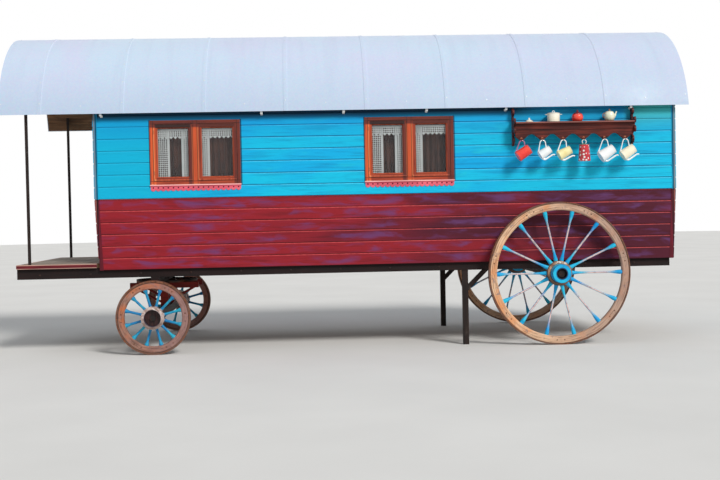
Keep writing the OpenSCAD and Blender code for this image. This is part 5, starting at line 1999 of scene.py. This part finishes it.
@dataclass
class Studio:
    """Camera, floor and light."""

    eye: Triple = (-0.5121, -14.3319, 1.5812)
    yaw: float = 2.7226
    pitch: float = -1.3979
    roll: float = 1.1445
    focal: float = 1127.4722
    image_w: float = 720.0
    sensor_w: float = 36.0
    floor_r: float = 60.0
    key_energy: float = 2.35
    key_from: Triple = (0.42, -0.68, 0.62)
    fill: float = 0.42

    def camera(self) -> None:
        """Set the camera where the wagon was seen from."""
        a, b, c = (math.radians(v) for v in (self.yaw, self.pitch, self.roll))
        ahead = Vector((math.sin(a) * math.cos(b), math.cos(a) * math.cos(b), math.sin(b)))
        side = Vector((math.cos(a), -math.sin(a), 0))
        up = side.cross(ahead)
        right, top = side * math.cos(c) - up * math.sin(c), up * math.cos(c) + side * math.sin(c)
        lens = bpy.data.cameras.new("viewer")
        lens.sensor_fit, lens.sensor_width = "HORIZONTAL", self.sensor_w
        lens.lens, lens.clip_end = self.focal / self.image_w * self.sensor_w, 500.0
        eye = bpy.data.objects.new("viewer", lens)
        eye.matrix_world = shifted(self.eye) @ Matrix((right, top, -ahead)).transposed().to_4x4()
        link(eye)
        bpy.context.scene.camera = eye

    def floor(self) -> None:
        """A wide pale floor."""
        r, draft = Recipe("floor_paint", 0.9), Draft()
        r.give({"Base Color": r.ramp(r.noise(0.6, 3.0), (0.3, (226, 226, 224)), (0.7, (232, 232, 230)))})
        bmesh.ops.create_circle(draft.bm, cap_ends=True, radius=self.floor_r, segments=96)
        mesh = draft.mesh("floor")
        mesh.materials.append(r.material)
        ground = bpy.data.objects.new("studio_floor", mesh)
        ground.location.z = -0.0005
        link(ground)

    def light(self) -> None:
        """A soft key from the right and the front, and an even fill."""
        key = bpy.data.lights.new("key", "SUN")
        key.energy, key.angle, key.color = self.key_energy, math.radians(16), (1.0, 0.97, 0.93)
        lamp = bpy.data.objects.new("key", key)
        lamp.rotation_euler = Vector(self.key_from).to_track_quat("Z", "Y").to_euler()
        link(lamp)
        world = bpy.data.worlds.new("studio")
        world.use_nodes = True
        bpy.context.scene.world = world
        sky = Tree(world.node_tree)
        # The cool fill lights the wagon, while the camera sees plain white
        fill = sky.node("ShaderNodeBackground", {0: (0.94, 0.965, 1.0, 1.0), 1: self.fill})
        white = sky.node("ShaderNodeBackground", {0: (1, 1, 1, 1), 1: 1.0})
        rays = sky.tree.nodes.new("ShaderNodeLightPath").outputs
        seen = sky.most(*(Field(sky, rays[f"Is {way} Ray"]) for way in ("Camera", "Glossy", "Transmission")))
        both = sky.node("ShaderNodeMixShader", {0: seen, 1: fill, 2: white})
        sky.feed(sky.tree.nodes["World Output"].inputs[0], both)
        bpy.context.scene.view_settings.view_transform = "Standard"

    def build(self) -> None:
        """Set everything up."""
        self.camera()
        self.floor()
        self.light()


def main() -> None:
    """Build every sub-assembly in order."""
    logging.basicConfig(level=logging.INFO, format="%(name)s %(message)s")
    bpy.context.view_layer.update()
    rack = Rack()
    wheels = [Wheel(f"{end}_{side}", (x, y, r), tyre_t, arcs)
              for end, x, r, tyre_t, arcs in (("rear", 2.42, 0.83, 0.012, 7), ("front", -2.28, 0.425, 0.020, 6))
              for side, y in (("near", -1.35), ("far", 1.35))]
    for part in (Walls(), Windows(), Door(), Roof(), Porch(), RunningGear(), *wheels, rack, Ware(rack), Studio()):
        part.build()
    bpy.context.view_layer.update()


if __name__ == "__main__":
    main()
